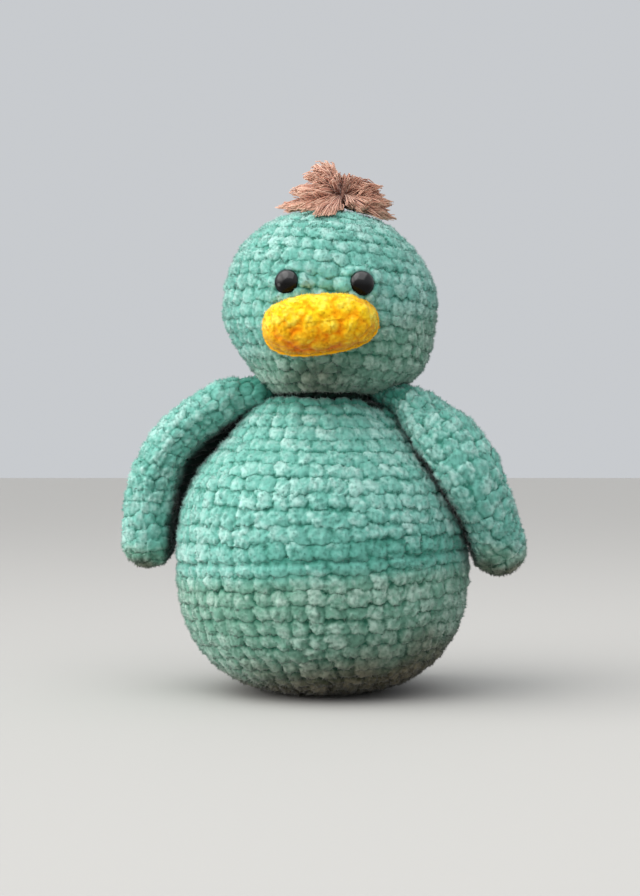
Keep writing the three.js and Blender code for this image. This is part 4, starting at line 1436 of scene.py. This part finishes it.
def make_tuft_tie():
    """The strand round the tuft's waist, the stem through the crown and the knot inside."""
    angle = full_turn(120)
    loop = np.stack([0 * angle, tie_loop * np.cos(angle), tie_loop * np.sin(angle)], axis=1)
    loop = loop + tuft_waist
    ahead = unit(np.roll(loop, -1, axis=0) - np.roll(loop, 1, axis=0))
    out = unit(loop - tuft_waist)
    other = np.cross(ahead, out)
    round_it = full_turn(12)[None, :]
    swell = tie_yarn * (0.88 + 0.12 * np.cos(2 * round_it + 16 * angle[:, None]))[..., None]
    grid = loop[:, None] + swell * (out[:, None] * np.cos(round_it)[..., None]
                                    + other[:, None] * np.sin(round_it)[..., None])
    knot_middle = -fabric_thickness - 2 * seat_gap - tie_knot
    turn = np.linspace(-math.pi / 2, 1.25, 30)
    ball = np.stack([tie_knot * np.cos(turn) * (1 - 0.1 * np.cos(turn * 6)),
                     knot_middle + tie_knot * np.sin(turn)], axis=1)
    stem_top = 0.9
    stem = np.stack([np.full(20, 0.92 * tie_yarn), np.linspace(ball[-1, 1] + 0.3, stem_top, 20)],
                    axis=1)
    under = np.concatenate([ball, stem, [[0, stem_top]]])
    under = stood(around(under, 20), crown, head_axes[2])
    vertices, quads, triangles = closed_grid(under)
    first = grid.reshape(-1, 3)
    values = {"height": np.full(len(first) + len(vertices), 0.35),
              "tone": np.full(len(first) + len(vertices), 0.4)}
    piece = made("tuft_tie", np.concatenate([first, vertices]),
                 np.concatenate([strip_faces(*grid.shape[:2], looped=True), quads + len(first)]),
                 triangles + len(first), values, brown)
    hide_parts("tuft_tie")
    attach(piece, "head")


# Fillings


def wad(name, grid, body, seed):
    """A wad of loose fibre: a form drawn in a little and lumpy by two noises."""
    out = directions(grid)[2]
    lump = -0.5 + 0.35 * lumps(grid, 9, seed) + 0.15 * lumps(grid, 3, seed + 1)
    piece = simple_piece(name, grid + lump[..., None] * out, fibre, "white_fibre", body)


def dented(grid, place, way, depth, radius):
    """Places within a radius of an axis are pushed along it to a depth, easing back to
    nothing a third further out."""
    from_it = grid - place
    deep = (from_it * way).sum(-1)
    off = np.linalg.norm(from_it - deep[..., None] * way, axis=-1)
    push = (1 - eased(off, radius, 1.35 * radius)) * np.maximum(deep + depth, 0)
    return grid - (push * (deep > -depth - 5))[..., None] * way


def make_fillings():
    """The wads of fibre in the covers, each clear of what stands in it, and the neck's wad."""
    inset = fabric_thickness + filling_gap
    grid = around(body_line(inset, 70), 90)
    off = np.hypot(grid[..., 0], grid[..., 1])
    ceiling = np.where(off < wad_radius + wad_room + 1, neck_height - wad_half_height - wad_room,
                       body_top - fabric_thickness)
    grid[..., 2] = np.minimum(grid[..., 2], ceiling)
    wad("body_stuffing", grid, "torso", 81)
    grid = on_head(around(head_line(inset, 70, -math.pi / 2), 90))
    off = np.hypot(grid[..., 0], grid[..., 1])
    lowest = np.where(off < wad_radius + wad_room + 1,
                      neck_height + wad_half_height + wad_room, neck_height + neck_room)
    grid[..., 2] = np.maximum(grid[..., 2], lowest)
    for side in (1, -1):
        grid = dented(grid, *eye_foot(side), eye_post_length + 2.4, 8.4)
    grid = dented(grid, crown, head_axes[2], fabric_thickness + 2 * tie_knot + 3, 5.5)
    wad("head_stuffing", grid, "head", 83)
    inset = thin_thickness + filling_gap
    form = bill_form(inset, 20, 60, filling_gap)
    angle = full_turn(form.shape[1])
    wide, tall = bill_half_width - inset, bill_half_height - inset
    rows = []
    for share in (0.0, 0.3, 0.6, 0.85):
        left, upwards = bill_outline(angle, wide * share, tall * share)
        foot, way = on_face(bill_side + left, upwards - bill_below)
        rows.append(foot + (filling_gap + 0.5) * way)
    wad("bill_stuffing", np.concatenate([np.stack(rows), form]), "head", 87)
    for side, wing in wings.items():
        form = wing_form(wing, inset, 60, 40, 1.0)
        wad(f"wing_{side}_stuffing", form, f"wing_{side}", 89)
    turn = np.linspace(-math.pi / 2, math.pi / 2, 40)
    across, along = rounded(turn, 2.4)
    line = np.stack([wad_radius * across, neck_height + wad_half_height * along], axis=1)
    wad("neck_stuffing", around(line, 48), "neck_wad", 91)


def make_seams():
    """The yarn that ties on the head, sews on the bill and sews on each wing."""
    angle = full_turn(360)
    ring = np.stack([neck_ring * np.cos(angle), neck_ring * np.sin(angle),
                     neck_height + 0 * angle], axis=1)
    # The neck's seam takes the teal with painted shade
    yarn_loop("neck_seam", ring, neck_yarn, shaded_teal, 9000, "neck_ring", 93)
    angle = full_turn(200)
    inset = thin_thickness / 2
    left, upwards = bill_outline(angle, bill_half_width - inset, bill_half_height - inset)
    foot, way = on_face(bill_side + left, upwards - bill_below)
    loop = foot + (bill_yarn + seat_gap) * way
    yarn_loop("bill_seam", loop, bill_yarn, yellow, 2000, "head", 95)
    for side, wing in wings.items():
        shoulder = body_top - wing["below"]
        outward, _ = body_normal_at(shoulder)
        foot = shoulder + (wing["thin"][0] - wing_yarn / 2) * np.sin(angle) * outward
        turn = (wing["broad"][0] - wing_yarn) * np.cos(angle) / body_radius_at(foot)
        turn = turn + math.radians(wing["turns"][0])
        loop = over_body(wing["side"], foot, wing_yarn + seat_gap, turn)
        if wing["side"] < 0:
            loop = loop[::-1]
        yarn_loop(f"wing_{side}_seam", loop, 0.8 * wing_yarn, teal, 2000, f"wing_{side}_root", 97)


make_eye("eye_left", 1)
make_eye("eye_right", -1)
make_tuft()
make_tuft_tie()
make_fillings()
make_seams()
for side in ("left", "right"):
    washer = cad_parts[f"eye_washer_{side}"]
    washer.data.materials.clear()
    washer.data.materials.append(white_plastic)
